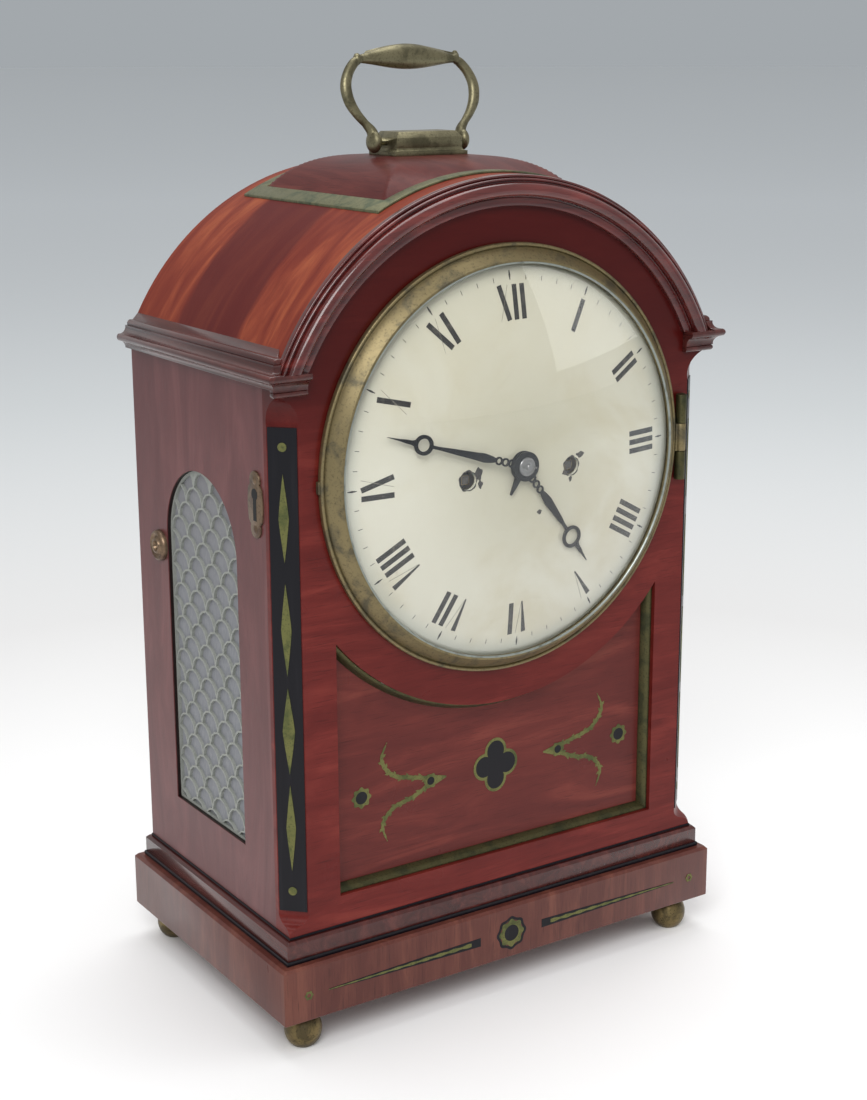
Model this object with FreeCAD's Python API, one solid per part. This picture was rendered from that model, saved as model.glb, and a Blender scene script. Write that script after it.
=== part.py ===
import FreeCAD, Part
import math
import os

# An arched-top bracket clock: veneered case with a barrel-shaped top, pierced side
# frets, hinged glazed bezel, glazed rear door, carrying handle and a two-train
# movement.  Millimetres.  +Z is up, the dial faces -Y and +X is to the right of
# somebody who looks at the dial.  The origin is on the floor below the centre of the
# overall box.

Vector = FreeCAD.Vector

# ---------------------------------------------------------------- case
BODY_WIDTH = 260.0
BODY_DEPTH = 158.6
BOARD = 12.0                # side boards, front board and back frame
POST = 14.0                 # square of the two front corner posts
CHAMFER_LEG = 11.0          # canted front corners
FOOT_HEIGHT = 19.0
FOOT_RADIUS = 10.5
FOOT_INSET = 13.0           # from the body's faces to the foot's axis
BASE_HEIGHT = 30.0
BASE_OUT = 8.3              # how far the base block stands out from the body
STEP_HEIGHT = 12.0
STEP_OUT = 3.2
BASE_EDGE = 1.4             # small bevel on the top edge of base and step
DIAL_RISE = 229.0           # dial centre above the case floor
VAULT_OVER = 12.0           # vault's radius beyond half the body's width
VAULT_THICK = 8.0
JOINERY_GAP = 0.2           # between a curved edge and the curve that it fits

# cornice on the sides, and the arched hood moulding over the front
CORNICE_DROP = 12.1         # cornice bottom below the spring of the arch
CORNICE_RETURN = 15.0       # length of the short front returns
HOOD_WIDTH = 15.2           # hood moulding, inward from the vault's outer face
HOOD_PROUD = 8.0
HOOD_SEAT = 1.1             # hood's feet below the spring of the arch

# sunk panel below the dial, and its brass slip
PANEL_MARGIN = 29.5         # panel's sides from the body's sides
PANEL_RISE = 16.5           # bottom edge above the case floor
PANEL_SCOOP_GAP = 18.7      # between the bezel and the panel's scooped top edge
PANEL_SUNK = 7.4
SLIP_WIDTH = 3.6
SLIP_DEPTH = 5.8

# ebonised corner strips with brass lozenges
STRIP_THICK = 0.6
INLAY_THICK = 0.3
STRIP_MARGIN = 0.6          # ebony inside the edges of the canted corner
LOZENGE_HALF = 2.7
LOZENGE_LENGTH = 45.0
LOZENGE_RISES = (57.3, 108.0, 159.6, 214.8)    # middles above the case floor
DOT_RADIUS = 2.2
DOT_LOW = 11.0              # dots from the ends of the ebony strip
DOT_HIGH = 9.0
STOP_LOWER = 12.2           # height of the curved stops of the canted corners
STOP_UPPER = 26.8

# pierced side frets
FRET_HALF = 39.4
FRET_RISE = 35.2
FRET_SIDE = 149.0           # straight part of the opening's sides
FRET_THICK = 1.6
FRET_SUNK = 2.2
FRET_BORDER = 1.5
FRET_WIRE = 0.9
FRET_SCALE = 18.2           # width of one scale; rows are half of it apart
FRET_LEAST = 3.0            # area of the smallest piercing at the border
CLOTH_THICK = 0.6

# brasses on the left side board
KEYPLATE_SETBACK = 22.6     # its middle behind the case's front face
KEYPLATE_DROP = 10.0        # and below the dial centre
KEYPLATE_HEIGHT = 33.0
KEYPLATE_WIDTH = 15.0
KEYPLATE_THICK = 1.0
KEYHOLE_EYE = 2.9           # radius of its round head
KEYHOLE_WIDTH = 3.2
KEYHOLE_HEIGHT = 16.0
BOSS_BESIDE = 8.3           # cord boss behind the fret's opening
BOSS_DROP = 53.6
BOSS_RADIUS = 8.4
BOSS_STEP = 6.2
BOSS_EYE = 3.2

# bezel, glass and dial
BEZEL_MARGIN = 20.7         # between the bezel and the body's sides
BEZEL_WIDTH = 10.0
BEZEL_WALL = 7.0            # where the glass lies behind the lip
BEZEL_RIM = 3.75            # rim and sight edge in front of the case
BEZEL_PROUD = 9.75
BEZEL_LIP = 1.6
BEZEL_GAP = 0.3             # between the bezel's back and the case
GLASS_THICK = 1.8
GLASS_SAG = 18.45
DIAL_GAP = 1.7              # between the dial's edge and the bezel's bore
DIAL_SAG = 8.5
DIAL_PROUD = 13.25
DIAL_THICK = 1.6
DIAL_KNEE = 0.55            # share of the radius where the feet stand behind the dome
DIAL_FOOT = 2.2             # radius of the feet
DIAL_HOLE_LAP = 6.3         # bezel beyond the round opening in the front board
WINDING_SPREAD = 31.6       # winding squares from the middle, and below the hands
WINDING_DROP = 4.3
WINDING_HOLE = 4.6
HAND_HOLE = 4.2             # hole in the dial for the hour hand's pipe
HINGE_RADIUS = 2.9
HINGE_LENGTH = 46.0
HINGE_PIN = 1.2
RUNNING_GAP = 0.05

# hands
MINUTE_SHORT = 15.8         # tips of the hands inside the dial's edge
HOUR_SHORT = 31.6
MINUTE_POINT = 21.4         # from a tip back to the middle of its ring
HOUR_POINT = 17.5
HAND_THICK = 0.9
HAND_BOSS = 8.3
HAND_RING = 5.2
HAND_EYE = 3.6
CLOCK_MINUTES = 47.7        # the time that the hands show
CLOCK_HOURS = 4.77
HOUR_PROUD = 14.4           # backs of the hands in front of the case, at the centre
HOUR_FALL = 4.55            # and how far their tips bend back
MINUTE_PROUD = 17.0
MINUTE_FALL = 8.4
CENTRE_ARBOR = 1.5
HOUR_PIPE = 3.2

# handle on its base block
HANDLE_REACH = 44.7         # pivots to the axis of the grip
HANDLE_HALF = 41.5
HANDLE_PIVOT_HALF = 26.9
HANDLE_PIVOT_RISE = 13.0    # pivots above the crown of the vault
HANDLE_LEAN = 14.0
HANDLE_ARM = 6.0            # width and thickness of the cast arms
HANDLE_THICK = 5.0
GRIP_RADIUS = 5.75
GRIP_NECK = 3.0
HANDLE_BALL = 4.6
HANDLE_PIN = 2.0
BLOCK_HALF = 22.0
BLOCK_DEPTH = 26.0
BLOCK_RISE = 6.0            # bottom of the base block above the crown
BLOCK_HEIGHT = 12.0

# raised pad under the handle, and its brass border
PAD_HALF = 58.0
PAD_FRONT = 19.8            # border strips from the body's front and back faces
PAD_BACK = 21.3
BORDER_WIDTH = 9.0
BORDER_THICK = 1.2

# rear door
DOOR_MARGIN = 32.0
DOOR_RISE = 24.0
DOOR_ARCH_MARGIN = 18.0     # inside the vault's inner face
DOOR_STILE = 18.0
DOOR_GAP = 0.6
PANE_THICK = 2.0
DOOR_HINGES = (0.16, 0.72)  # heights of the hinges, as shares of the case's height
KNUCKLE_RADIUS = 2.0
KNUCKLE_LENGTH = 9.0
KNUCKLE_OUT = 2.3           # hinge axis behind the case's back face
KNUCKLE_GAP = 0.3
LEAF_WIDTH = 13.0
LEAF_THICK = 1.0
KNOB_RADIUS = 4.5
KNOB_STEM = 2.6
KNOB_THICK = 4.0

# movement
PLATE_HALF = 62.0
PLATE_TOP = 76.0            # above and below the dial centre
PLATE_DROP = 90.0
PLATE_THICK = 3.0
PLATE_SETBACK = 16.0        # front plate behind the case's front face
PLATE_SPACE = 50.0
PILLAR_RADIUS = 3.5
PILLAR_INSET = 7.0
END_SHAKE = 0.25
ARBOR = 1.6
WHEEL_THICK = 1.8
PINION_LENGTH = 5.0
SEAT_THICK = 10.0
FUSEE_WIDE = 23.0
FUSEE_NARROW = 12.0
BARREL_RADIUS = 21.0
BARREL_DROP = 49.7
BARREL_SPREAD = 37.0
SQUARE_HALF = 2.2
BELL_RADIUS = 22.0
BELL_HEIGHT = 20.0
BELL_BEVEL = 6.0
BELL_WALL = 1.4
BELL_RISE = 10.0            # mouth of the bell above the plates
STAND_WIDTH = 10.0          # strip that carries the bell
STAND_THICK = 2.0
STAND_LAP = 12.0
PENDULUM_LENGTH = 205.0
BOB_RADIUS = 19.0
BOB_THICK = 8.0
BOB_BEHIND = 10.0           # pendulum behind the back plate
SUSPENSION_RISE = 8.7       # top of the suspension spring above the pallet arbor
SUSPENSION_LENGTH = 24.0
ROD_HALF = 1.6
CRUTCH_LENGTH = 60.0
PALLET_RISE = 17.5          # pallet arbor above the escape wheel's
ANCHOR_THICK = 4.0
COCK_HALF = 9.0
COCK_ARM = 4.0
HAMMER_SPREAD = 34.0        # hammer arbor beside the middle, and above the dial centre
HAMMER_RISE = 58.0
HAMMER_GAP = 1.0            # between the head and the bell

# teeth of the wheels and of the pinions that they drive
GREAT_TEETH, CENTRE_PINION_TEETH = 32, 8
CENTRE_TEETH, THIRD_PINION_TEETH = 30, 8
THIRD_TEETH, ESCAPE_PINION_TEETH = 30, 6
ESCAPE_TEETH = 20
PIN_PINION_TEETH, PIN_TEETH = 8, 30
CANNON_TEETH, MINUTE_TEETH = 10, 20
MINUTE_PINION_TEETH, HOUR_TEETH = 5, 30
THIRD_DISTANCE = 24.0       # between the arbors
ESCAPE_DISTANCE = 18.0
MOTION_DISTANCE = 15.0
TOOTH_TIP = 0.7             # beyond and inside the pitch circle, in modules
TOOTH_ROOT = 1.3

# ---------------------------------------------------------------- derived sizes and places
HALF = BODY_WIDTH / 2
VAULT_RADIUS = HALF + VAULT_OVER
VAULT_INNER = VAULT_RADIUS - VAULT_THICK
HOOD_INNER = VAULT_RADIUS - HOOD_WIDTH
BEZEL_OUTER = HALF - BEZEL_MARGIN
BEZEL_SIGHT = BEZEL_OUTER - BEZEL_WIDTH
BEZEL_BORE = BEZEL_OUTER - BEZEL_WALL
DIAL_RADIUS = BEZEL_BORE - DIAL_GAP
DIAL_HOLE = BEZEL_OUTER - DIAL_HOLE_LAP
PANEL_HALF = HALF - PANEL_MARGIN
PANEL_SCOOP = BEZEL_OUTER + PANEL_SCOOP_GAP
MINUTE_LENGTH = DIAL_RADIUS - MINUTE_SHORT
MINUTE_RING = MINUTE_LENGTH - MINUTE_POINT
HOUR_LENGTH = DIAL_RADIUS - HOUR_SHORT
HOUR_RING = HOUR_LENGTH - HOUR_POINT
DOOR_HALF = HALF - DOOR_MARGIN
DOOR_ARCH = VAULT_INNER - DOOR_ARCH_MARGIN

# the glass stands in front and the base behind; the origin is midway between them
GLASS_APEX = BEZEL_PROUD - BEZEL_LIP - 0.85 + GLASS_SAG
FRONT = -(BODY_DEPTH + BASE_OUT + GLASS_APEX) / 2 + GLASS_APEX
BACK = FRONT + BODY_DEPTH
MIDDLE_Y = (FRONT + BACK) / 2
BASE_TOP = FOOT_HEIGHT + BASE_HEIGHT
FLOOR = BASE_TOP + STEP_HEIGHT
AXIS_Z = FLOOR + DIAL_RISE
SPRING = AXIS_Z + math.sqrt(VAULT_RADIUS ** 2 - HALF ** 2)
CROWN = AXIS_Z + VAULT_RADIUS
FRET_BOTTOM = FLOOR + FRET_RISE
FRET_SPRING = FRET_BOTTOM + FRET_SIDE
FRET_Y = MIDDLE_Y + 5.1
PLATE_FRONT = FRONT + PLATE_SETBACK
TRAIN_START = PLATE_FRONT + PLATE_THICK
TRAIN_END = TRAIN_START + PLATE_SPACE
PLATE_BOTTOM = AXIS_Z - PLATE_DROP
HANDLE_Z = CROWN + HANDLE_PIVOT_RISE
CHAMFER_DEPTH = CHAMFER_LEG / math.sqrt(2)

BELL_Z = AXIS_Z + PLATE_TOP + BELL_RISE
BELL_Y = TRAIN_START + PLATE_SPACE / 2 + 1

CENTRE = (0.0, AXIS_Z)
GOING = (WINDING_SPREAD, AXIS_Z - WINDING_DROP)
STRIKE = (-WINDING_SPREAD, AXIS_Z - WINDING_DROP)
GREAT_DISTANCE = math.hypot(WINDING_SPREAD, WINDING_DROP)
THIRD = (0.0, AXIS_Z + THIRD_DISTANCE)
ESCAPE = (0.0, THIRD[1] + ESCAPE_DISTANCE)
GOING_BARREL = (BARREL_SPREAD, GOING[1] - BARREL_DROP)
STRIKE_BARREL = (-BARREL_SPREAD, STRIKE[1] - BARREL_DROP)


# ---------------------------------------------------------------- drawing helpers
def polar(centre, radius, degrees):
    """A point on a circle in a two-dimensional view."""
    angle = math.radians(degrees)
    return (centre[0] + radius * math.cos(angle), centre[1] + radius * math.sin(angle))


def arc_to(centre, radius, start, end):
    """The middle and the end of an arc, as one move of an outline."""
    return (polar(centre, radius, (start + end) / 2), polar(centre, radius, end))


def front_view(y):
    return lambda x, z: Vector(x, y, z)


def side_view(x):
    return lambda y, z: Vector(x, y, z)


def edges(place, start, moves):
    """Edges through points; a move is a point, or (point on the arc, end of the arc)."""
    made, here = [], start
    for move in moves:
        if isinstance(move[0], tuple):
            through, end = move
            made.append(Part.Arc(place(*here), place(*through), place(*end)).toShape())
        else:
            end = move
            made.append(Part.LineSegment(place(*here), place(*end)).toShape())
        here = end
    return made


def outline(place, start, *moves):
    """A closed wire; a last side back to the start is added unless the moves end there."""
    last = moves[-1][1] if isinstance(moves[-1][0], tuple) else moves[-1]
    return Part.Wire(edges(place, start, moves if last == start else moves + (start,)))


def circle(centre, radius, y):
    return Part.Wire(Part.makeCircle(radius, Vector(centre[0], y, centre[1]), Vector(0, 1, 0)))


def prism(wires, sweep):
    return Part.makeFace(wires, "Part::FaceMakerBullseye").extrude(sweep)


def slab(y_start, y_end, draw, *holes):
    """A board that faces the front: draw and holes are functions from a view to a wire."""
    view = front_view(y_start)
    return prism([shape(view) for shape in (draw,) + holes], Vector(0, y_end - y_start, 0))


def drawn(start, *moves):
    return lambda view: outline(view, start, *moves)


def round_hole(centre, radius):
    return lambda view: circle(centre, radius, view(0, 0).y)


def box(x0, x1, y0, y1, z0, z1):
    return Part.makeBox(x1 - x0, y1 - y0, z1 - z0, Vector(x0, y0, z0))


def rod(centre, radius, y_start, y_end):
    """A cylinder along Y."""
    return Part.makeCylinder(radius, y_end - y_start, Vector(centre[0], y_start, centre[1]),
                             Vector(0, 1, 0))


def turned(centre, *points):
    """A solid turned about the Y axis through centre, from (radius, y) points."""
    place = lambda radius, y: Vector(centre[0] + radius, y, centre[1])
    face = Part.Face(outline(place, points[0], *points[1:]))
    return face.revolve(Vector(centre[0], 0, centre[1]), Vector(0, 1, 0), 360)


def proud(distance):
    """The y of a plane in front of the case's front face."""
    return FRONT - distance


def moulded_block(profile, x_half, y_front, y_back, back_moulded=True):
    """A block whose sides follow a profile of (out, height) moves, mitred at its corners."""
    reach = 2 * BODY_WIDTH
    start, moves = profile[0], profile[1:]
    last = moves[-1][1] if isinstance(moves[-1][0], tuple) else moves[-1]

    def section(right, left, left_moves, sweep):
        sides = edges(right, start, moves) + edges(left, start, left_moves)
        sides.append(Part.LineSegment(left(*start), right(*start)).toShape())
        sides.append(Part.LineSegment(left(*last), right(*last)).toShape())
        return Part.Face(Part.Wire(Part.__sortEdges__(sides))).extrude(sweep)

    across = section(lambda out, z: Vector(x_half + out, -reach / 2, z),
                     lambda out, z: Vector(-x_half - out, -reach / 2, z), moves,
                     Vector(0, reach, 0))
    out_at_back = 1.0 if back_moulded else 0.0
    along = section(lambda out, z: Vector(-reach / 2, y_front - out, z),
                    lambda out, z: Vector(-reach / 2, y_back + out_at_back * out, z),
                    moves if back_moulded else (last,), Vector(reach, 0, 0))
    return across.common(along)


def both_sides(shape):
    """The shape and its mirror image on the other side of the clock."""
    return Part.makeCompound([shape, mirrored(shape)])


def mirrored(shape):
    return shape.mirror(Vector(0, 0, 0), Vector(1, 0, 0))


# ---------------------------------------------------------------- case
def base_plinth():
    profile = ((BASE_OUT, FOOT_HEIGHT), (BASE_OUT, BASE_TOP - BASE_EDGE),
               (BASE_OUT - BASE_EDGE, BASE_TOP))
    return moulded_block(profile, HALF, FRONT, BACK)


def step_moulding():
    profile = ((STEP_OUT, BASE_TOP), (STEP_OUT, FLOOR - BASE_EDGE), (STEP_OUT - BASE_EDGE, FLOOR))
    return moulded_block(profile, HALF, FRONT, BACK)


def feet():
    """Four turned brass balls, each with a neck under the base and a small flat."""
    flat, neck = 4.0, 6.0
    steps = (-72, -38, -5, 30)
    places = [(x, y) for x in (HALF - FOOT_INSET, FOOT_INSET - HALF)
              for y in (FRONT + FOOT_INSET, BACK - FOOT_INSET)]
    centre_z = FOOT_HEIGHT - FOOT_RADIUS
    ball = [polar((0, centre_z), FOOT_RADIUS, angle) for angle in steps]
    points = [(0, 0), (flat, 0)] + ball[1:] + [(neck, FOOT_HEIGHT - 2), (neck, FOOT_HEIGHT),
                                               (0, FOOT_HEIGHT)]
    made = []
    for x, y in places:
        place = lambda radius, z: Vector(x + radius, y, z)
        face = Part.Face(outline(place, points[0], *points[1:]))
        made.append(face.revolve(Vector(x, y, 0), Vector(0, 0, 1), 360))
    return Part.makeCompound(made)


def arch_edge(half, radius):
    """Moves over an arch about the dial centre, from +half to -half."""
    side = math.degrees(math.acos(half / radius))
    return arc_to(CENTRE, radius, side, 180 - side)


def arch_spring(half, radius):
    return AXIS_Z + math.sqrt(radius ** 2 - half ** 2)


def board_outline(half):
    """A board of the given half width under the vault."""
    radius = VAULT_INNER - JOINERY_GAP
    shoulder = math.sqrt(radius ** 2 - (SPRING - AXIS_Z) ** 2)
    return drawn((-half, FLOOR), (half, FLOOR), (half, SPRING), (shoulder, SPRING),
                 arch_edge(shoulder, radius), (-half, SPRING))


def panel_outline(inset):
    """The sunk panel's outline, inset all round; its top is scooped under the dial."""
    half, bottom = PANEL_HALF - inset, FLOOR + PANEL_RISE + inset
    radius = PANEL_SCOOP + inset
    side = math.degrees(math.acos(half / radius))
    return drawn((-half, bottom), (half, bottom), polar(CENTRE, radius, -side),
                 arc_to(CENTRE, radius, -side, side - 180))


def front_board():
    return slab(FRONT, FRONT + BOARD, board_outline(HALF - POST),
                round_hole(CENTRE, DIAL_HOLE), panel_outline(0))


def sunk_panel():
    return slab(FRONT + PANEL_SUNK, FRONT + BOARD, panel_outline(JOINERY_GAP / 2))


def panel_slip():
    back = FRONT + PANEL_SUNK
    return slab(back - SLIP_DEPTH, back, panel_outline(JOINERY_GAP / 2),
                panel_outline(SLIP_WIDTH))


def corner_post():
    """Right front post: square, canted between a lamb's-tongue stop and a flared one."""
    post = box(HALF - POST, HALF, FRONT, FRONT + POST, FLOOR, SPRING)
    low, high = FLOOR + STOP_LOWER, SPRING - STOP_UPPER
    top = SPRING - CORNICE_DROP
    depth = CHAMFER_DEPTH
    inward, across = Vector(-1, 1, 0).normalize(), Vector(1, 1, 0).normalize()
    corner = Vector(HALF, FRONT, 0)
    place = lambda d, z: corner + inward * d - across * POST + Vector(0, 0, z)
    cut = outline(place, (0, FLOOR),
                  ((0.12 * depth, FLOOR + 0.32 * STOP_LOWER), (depth / 2, FLOOR + STOP_LOWER / 2)),
                  ((0.88 * depth, FLOOR + 0.68 * STOP_LOWER), (depth, low)),
                  (depth, high),
                  ((0.80 * depth, high + 0.6 * (top - high)), (0, top)),
                  (-depth, top), (-depth, FLOOR))
    return post.cut(Part.Face(cut).extrude(across * (2 * POST)))


def on_chamfer(start, *moves, lift=0.0, thick=STRIP_THICK):
    """A thin piece on the right canted corner, drawn as (across, height)."""
    outward, across = Vector(1, -1, 0).normalize(), Vector(1, 1, 0).normalize()
    middle = Vector(HALF, FRONT, 0) - outward * (CHAMFER_DEPTH - lift)
    place = lambda u, z: middle + across * u + Vector(0, 0, z)
    return Part.Face(outline(place, start, *moves)).extrude(outward * thick)


def corner_strips():
    half = CHAMFER_DEPTH - STRIP_MARGIN
    low, high = strip_ends()
    return both_sides(on_chamfer((-half, low), (half, low), (half, high), (-half, high)))


def strip_ends():
    """Bottom and top of the ebony strips, clear of the stops by their own margin."""
    return FLOOR + STOP_LOWER + STRIP_MARGIN, SPRING - STOP_UPPER - STRIP_MARGIN


def corner_inlays():
    """Pointed brass ovals, with a round dot below and above them."""
    low, high = strip_ends()
    tall, wide = LOZENGE_LENGTH / 2, LOZENGE_HALF
    bow, lift = 0.58 * wide, 0.5 * tall
    pieces = []
    for rise in LOZENGE_RISES:
        z = FLOOR + rise
        pieces.append(on_chamfer((0, z - tall), ((bow, z - lift), (wide, z)),
                                 ((bow, z + lift), (0, z + tall)),
                                 ((-bow, z + lift), (-wide, z)),
                                 ((-bow, z - lift), (0, z - tall)),
                                 lift=STRIP_THICK, thick=INLAY_THICK))
    for z in (low + DOT_LOW, high - DOT_HIGH):
        pieces.append(on_chamfer((-DOT_RADIUS, z), ((0, z - DOT_RADIUS), (DOT_RADIUS, z)),
                                 ((0, z + DOT_RADIUS), (-DOT_RADIUS, z)),
                                 lift=STRIP_THICK, thick=INLAY_THICK))
    return both_sides(Part.makeCompound(pieces))


def arched(half, bottom, spring, middle=None):
    """An arched opening in a side board, as a function of the view."""
    middle = FRET_Y if middle is None else middle
    return drawn((middle - half, bottom), (middle + half, bottom), (middle + half, spring),
                 arc_to((middle, spring), half, 0, 180))


def side_slab(x_start, x_end, draw, *holes):
    view = side_view(x_start)
    return prism([shape(view) for shape in (draw,) + holes], Vector(x_end - x_start, 0, 0))


def side_board():
    """Right side board with the arched opening for its fret."""
    whole = drawn((FRONT + POST, FLOOR), (BACK, FLOOR), (BACK, SPRING), (FRONT + POST, SPRING))
    return side_slab(HALF - BOARD, HALF, whole, arched(FRET_HALF, FRET_BOTTOM, FRET_SPRING))


def scale_hole(y, z):
    """One piercing of the fish-scale pattern, as points round it."""
    half = FRET_SCALE / 2
    inner, outer = half - FRET_WIRE / 2, half + FRET_WIRE / 2
    cusp = math.degrees(math.acos(half / outer))
    top = [polar((y, z), inner, angle) for angle in (4, 35, 62, 90, 118, 145, 176)]
    left = [polar((y - half, z - half), outer, angle) for angle in (84, 62, 40, cusp)]
    right = [polar((y + half, z - half), outer, 180 - angle) for angle in (40, 62, 84)]
    return top + left + right


def scale_places():
    """Middles of all the scales; whole ones start at the back edge of the fret."""
    top = FRET_SPRING + FRET_HALF - FRET_BORDER - FRET_SCALE / 2
    back = FRET_Y + FRET_HALF - FRET_BORDER
    rows = int(2 * (top - FRET_BOTTOM) / FRET_SCALE) + 2
    columns = int(2 * FRET_HALF / FRET_SCALE) + 2
    return [(back - (column + row % 2 / 2) * FRET_SCALE, top - row * FRET_SCALE / 2)
            for row in range(rows) for column in range(columns)]


def fret():
    """Right fret: an arched brass plate pierced with rows of scales up to its border."""
    gap, outer = JOINERY_GAP, HALF - FRET_SUNK
    view = side_view(outer - FRET_THICK)
    whole = arched(FRET_HALF - gap, FRET_BOTTOM + gap, FRET_SPRING)
    field = Part.Face(arched(FRET_HALF - FRET_BORDER, FRET_BOTTOM + FRET_BORDER, FRET_SPRING)(view))
    wires = [whole(view)]
    for y, z in scale_places():
        points = scale_hole(y, z)
        piercing = Part.Face(outline(view, points[0], *points[1:])).common(field)
        wires += [face.OuterWire for face in piercing.Faces if face.Area > FRET_LEAST]
    return prism(wires, Vector(FRET_THICK, 0, 0))


def fret_cloth():
    """Silk behind the right fret."""
    outer = HALF - FRET_SUNK - FRET_THICK
    gap = 2 * JOINERY_GAP
    return side_slab(outer - CLOTH_THICK, outer, arched(FRET_HALF - gap, FRET_BOTTOM + gap, FRET_SPRING))


def vault():
    """The barrel-shaped top, on the tops of the side boards and posts."""
    outer = rod(CENTRE, VAULT_RADIUS, FRONT, BACK)
    shell = outer.cut(rod(CENTRE, VAULT_INNER, FRONT, BACK))
    return shell.common(box(-HALF, HALF, FRONT, BACK, SPRING, CROWN))


def cornice():
    """Right cornice with its short return on the front, cut to sit against the vault."""
    low = SPRING - CORNICE_DROP
    profile = ((0, low), (2.4, low), ((3.4, low + 1.5), (2.4, low + 3)), (3.4, low + 3),
               ((4.2, low + 6.2), (7.0, low + 7.8)), ((8.0, low + 9.6), (7.0, low + 11.4)),
               (6.0, low + 11.4), ((3.8, low + 12.6), (3.0, low + 15.6)), (1.8, low + 15.6),
               ((1.6, low + 17.2), (0.2, low + 18.4)), (-1.6, low + 18.4), (-5.0, low + 22))
    ring = moulded_block(profile, HALF, FRONT, BACK, back_moulded=False)
    reach = 2 * HALF
    core = box(-HALF, HALF, FRONT, BACK, low, SPRING).fuse(rod(CENTRE, VAULT_RADIUS, FRONT, BACK))
    under_hood = rod(CENTRE, VAULT_RADIUS, FRONT - reach, FRONT)
    under_hood = under_hood.common(box(-reach, reach, -reach, reach, SPRING - HOOD_SEAT, CROWN))
    beside = box(-reach, HALF - CORNICE_RETURN, -reach, FRONT, low, CROWN)
    behind = box(-reach, 0, -reach, reach, low, CROWN)
    return ring.cut(Part.makeCompound([core])).cut(under_hood).cut(beside).cut(behind)


def hood_moulding():
    """Arched moulding over the front, turned about the dial centre."""
    r, y = HOOD_INNER, proud
    points = ((r, y(0)), (r, y(3.0)), (r + 2.2, y(3.8)), (r + 4.7, y(6.5)),
              (r + 7.2, y(HOOD_PROUD)), (r + 10.2, y(HOOD_PROUD)), (r + 11.7, y(5.6)),
              (r + 13.2, y(4.6)), (VAULT_RADIUS - 1, y(2.2)), (VAULT_RADIUS, y(1.4)),
              (VAULT_RADIUS, y(0)))
    place = lambda radius, y_at: Vector(radius, y_at, AXIS_Z)
    face = Part.Face(outline(place, points[0], *points[1:]))
    half_turn = face.revolve(Vector(0, 0, AXIS_Z), Vector(0, -1, 0), 180)
    seat = SPRING - HOOD_SEAT
    return half_turn.common(box(-HALF * 2, HALF * 2, proud(2 * HOOD_PROUD), FRONT, seat, CROWN + 1))


def pad_top():
    """Low hipped pad on the crown of the vault, under the handle's base block."""
    inner = BORDER_WIDTH
    half = PAD_HALF - 0.3
    front, back = FRONT + PAD_FRONT + 0.3, BACK - PAD_BACK - 0.3
    foot = AXIS_Z + math.sqrt(VAULT_RADIUS ** 2 - half ** 2)
    top = CROWN + BLOCK_RISE
    across = prism([outline(front_view(front), (half, foot - inner), (half, foot + 1.5),
                            (BLOCK_HALF + 2, top), (-BLOCK_HALF - 2, top),
                            (-half, foot + 1.5), (-half, foot - inner))],
                   Vector(0, back - front, 0))
    depth = BLOCK_DEPTH / 2 + 2
    along = prism([outline(side_view(-HALF), (front, foot - inner), (front, CROWN + 1.5),
                           (MIDDLE_Y - depth, top), (MIDDLE_Y + depth, top),
                           (back, CROWN + 1.5), (back, foot - inner))], Vector(BODY_WIDTH, 0, 0))
    return across.common(along).cut(rod(CENTRE, VAULT_RADIUS, FRONT, BACK))


def pad_border():
    """Brass strip round the pad, bent to the vault."""
    shell = rod(CENTRE, VAULT_RADIUS + BORDER_THICK, FRONT, BACK).cut(
        rod(CENTRE, VAULT_RADIUS, FRONT, BACK))
    half, width = PAD_HALF + BORDER_WIDTH, BORDER_WIDTH
    front, back = FRONT + PAD_FRONT - width, BACK - PAD_BACK + width
    outer = box(-half, half, front, back, AXIS_Z, 2 * CROWN)
    inner = box(width - half, half - width, front + width, back - width, AXIS_Z, 2 * CROWN)
    return shell.common(outer.cut(inner))


def handle_base():
    """Brass block with a spread foot; its ends carry the pivot pins of the handle."""
    low = CROWN + BLOCK_RISE
    half, depth = BLOCK_HALF - 2, BLOCK_DEPTH / 2 - 2
    profile = ((2.0, low), (2.0, low + 2), ((0.4, low + 2.6), (0.0, low + 4.4)),
               (0.0, low + BLOCK_HEIGHT - 3), (-2.4, low + BLOCK_HEIGHT))
    block = moulded_block(profile, half, MIDDLE_Y - depth, MIDDLE_Y + depth)
    pin_reach = HANDLE_PIVOT_HALF + HANDLE_THICK / 2
    pins = Part.makeCylinder(HANDLE_PIN, 2 * pin_reach, Vector(-pin_reach, MIDDLE_Y, HANDLE_Z),
                             Vector(1, 0, 0))
    return block.fuse(pins)


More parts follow.
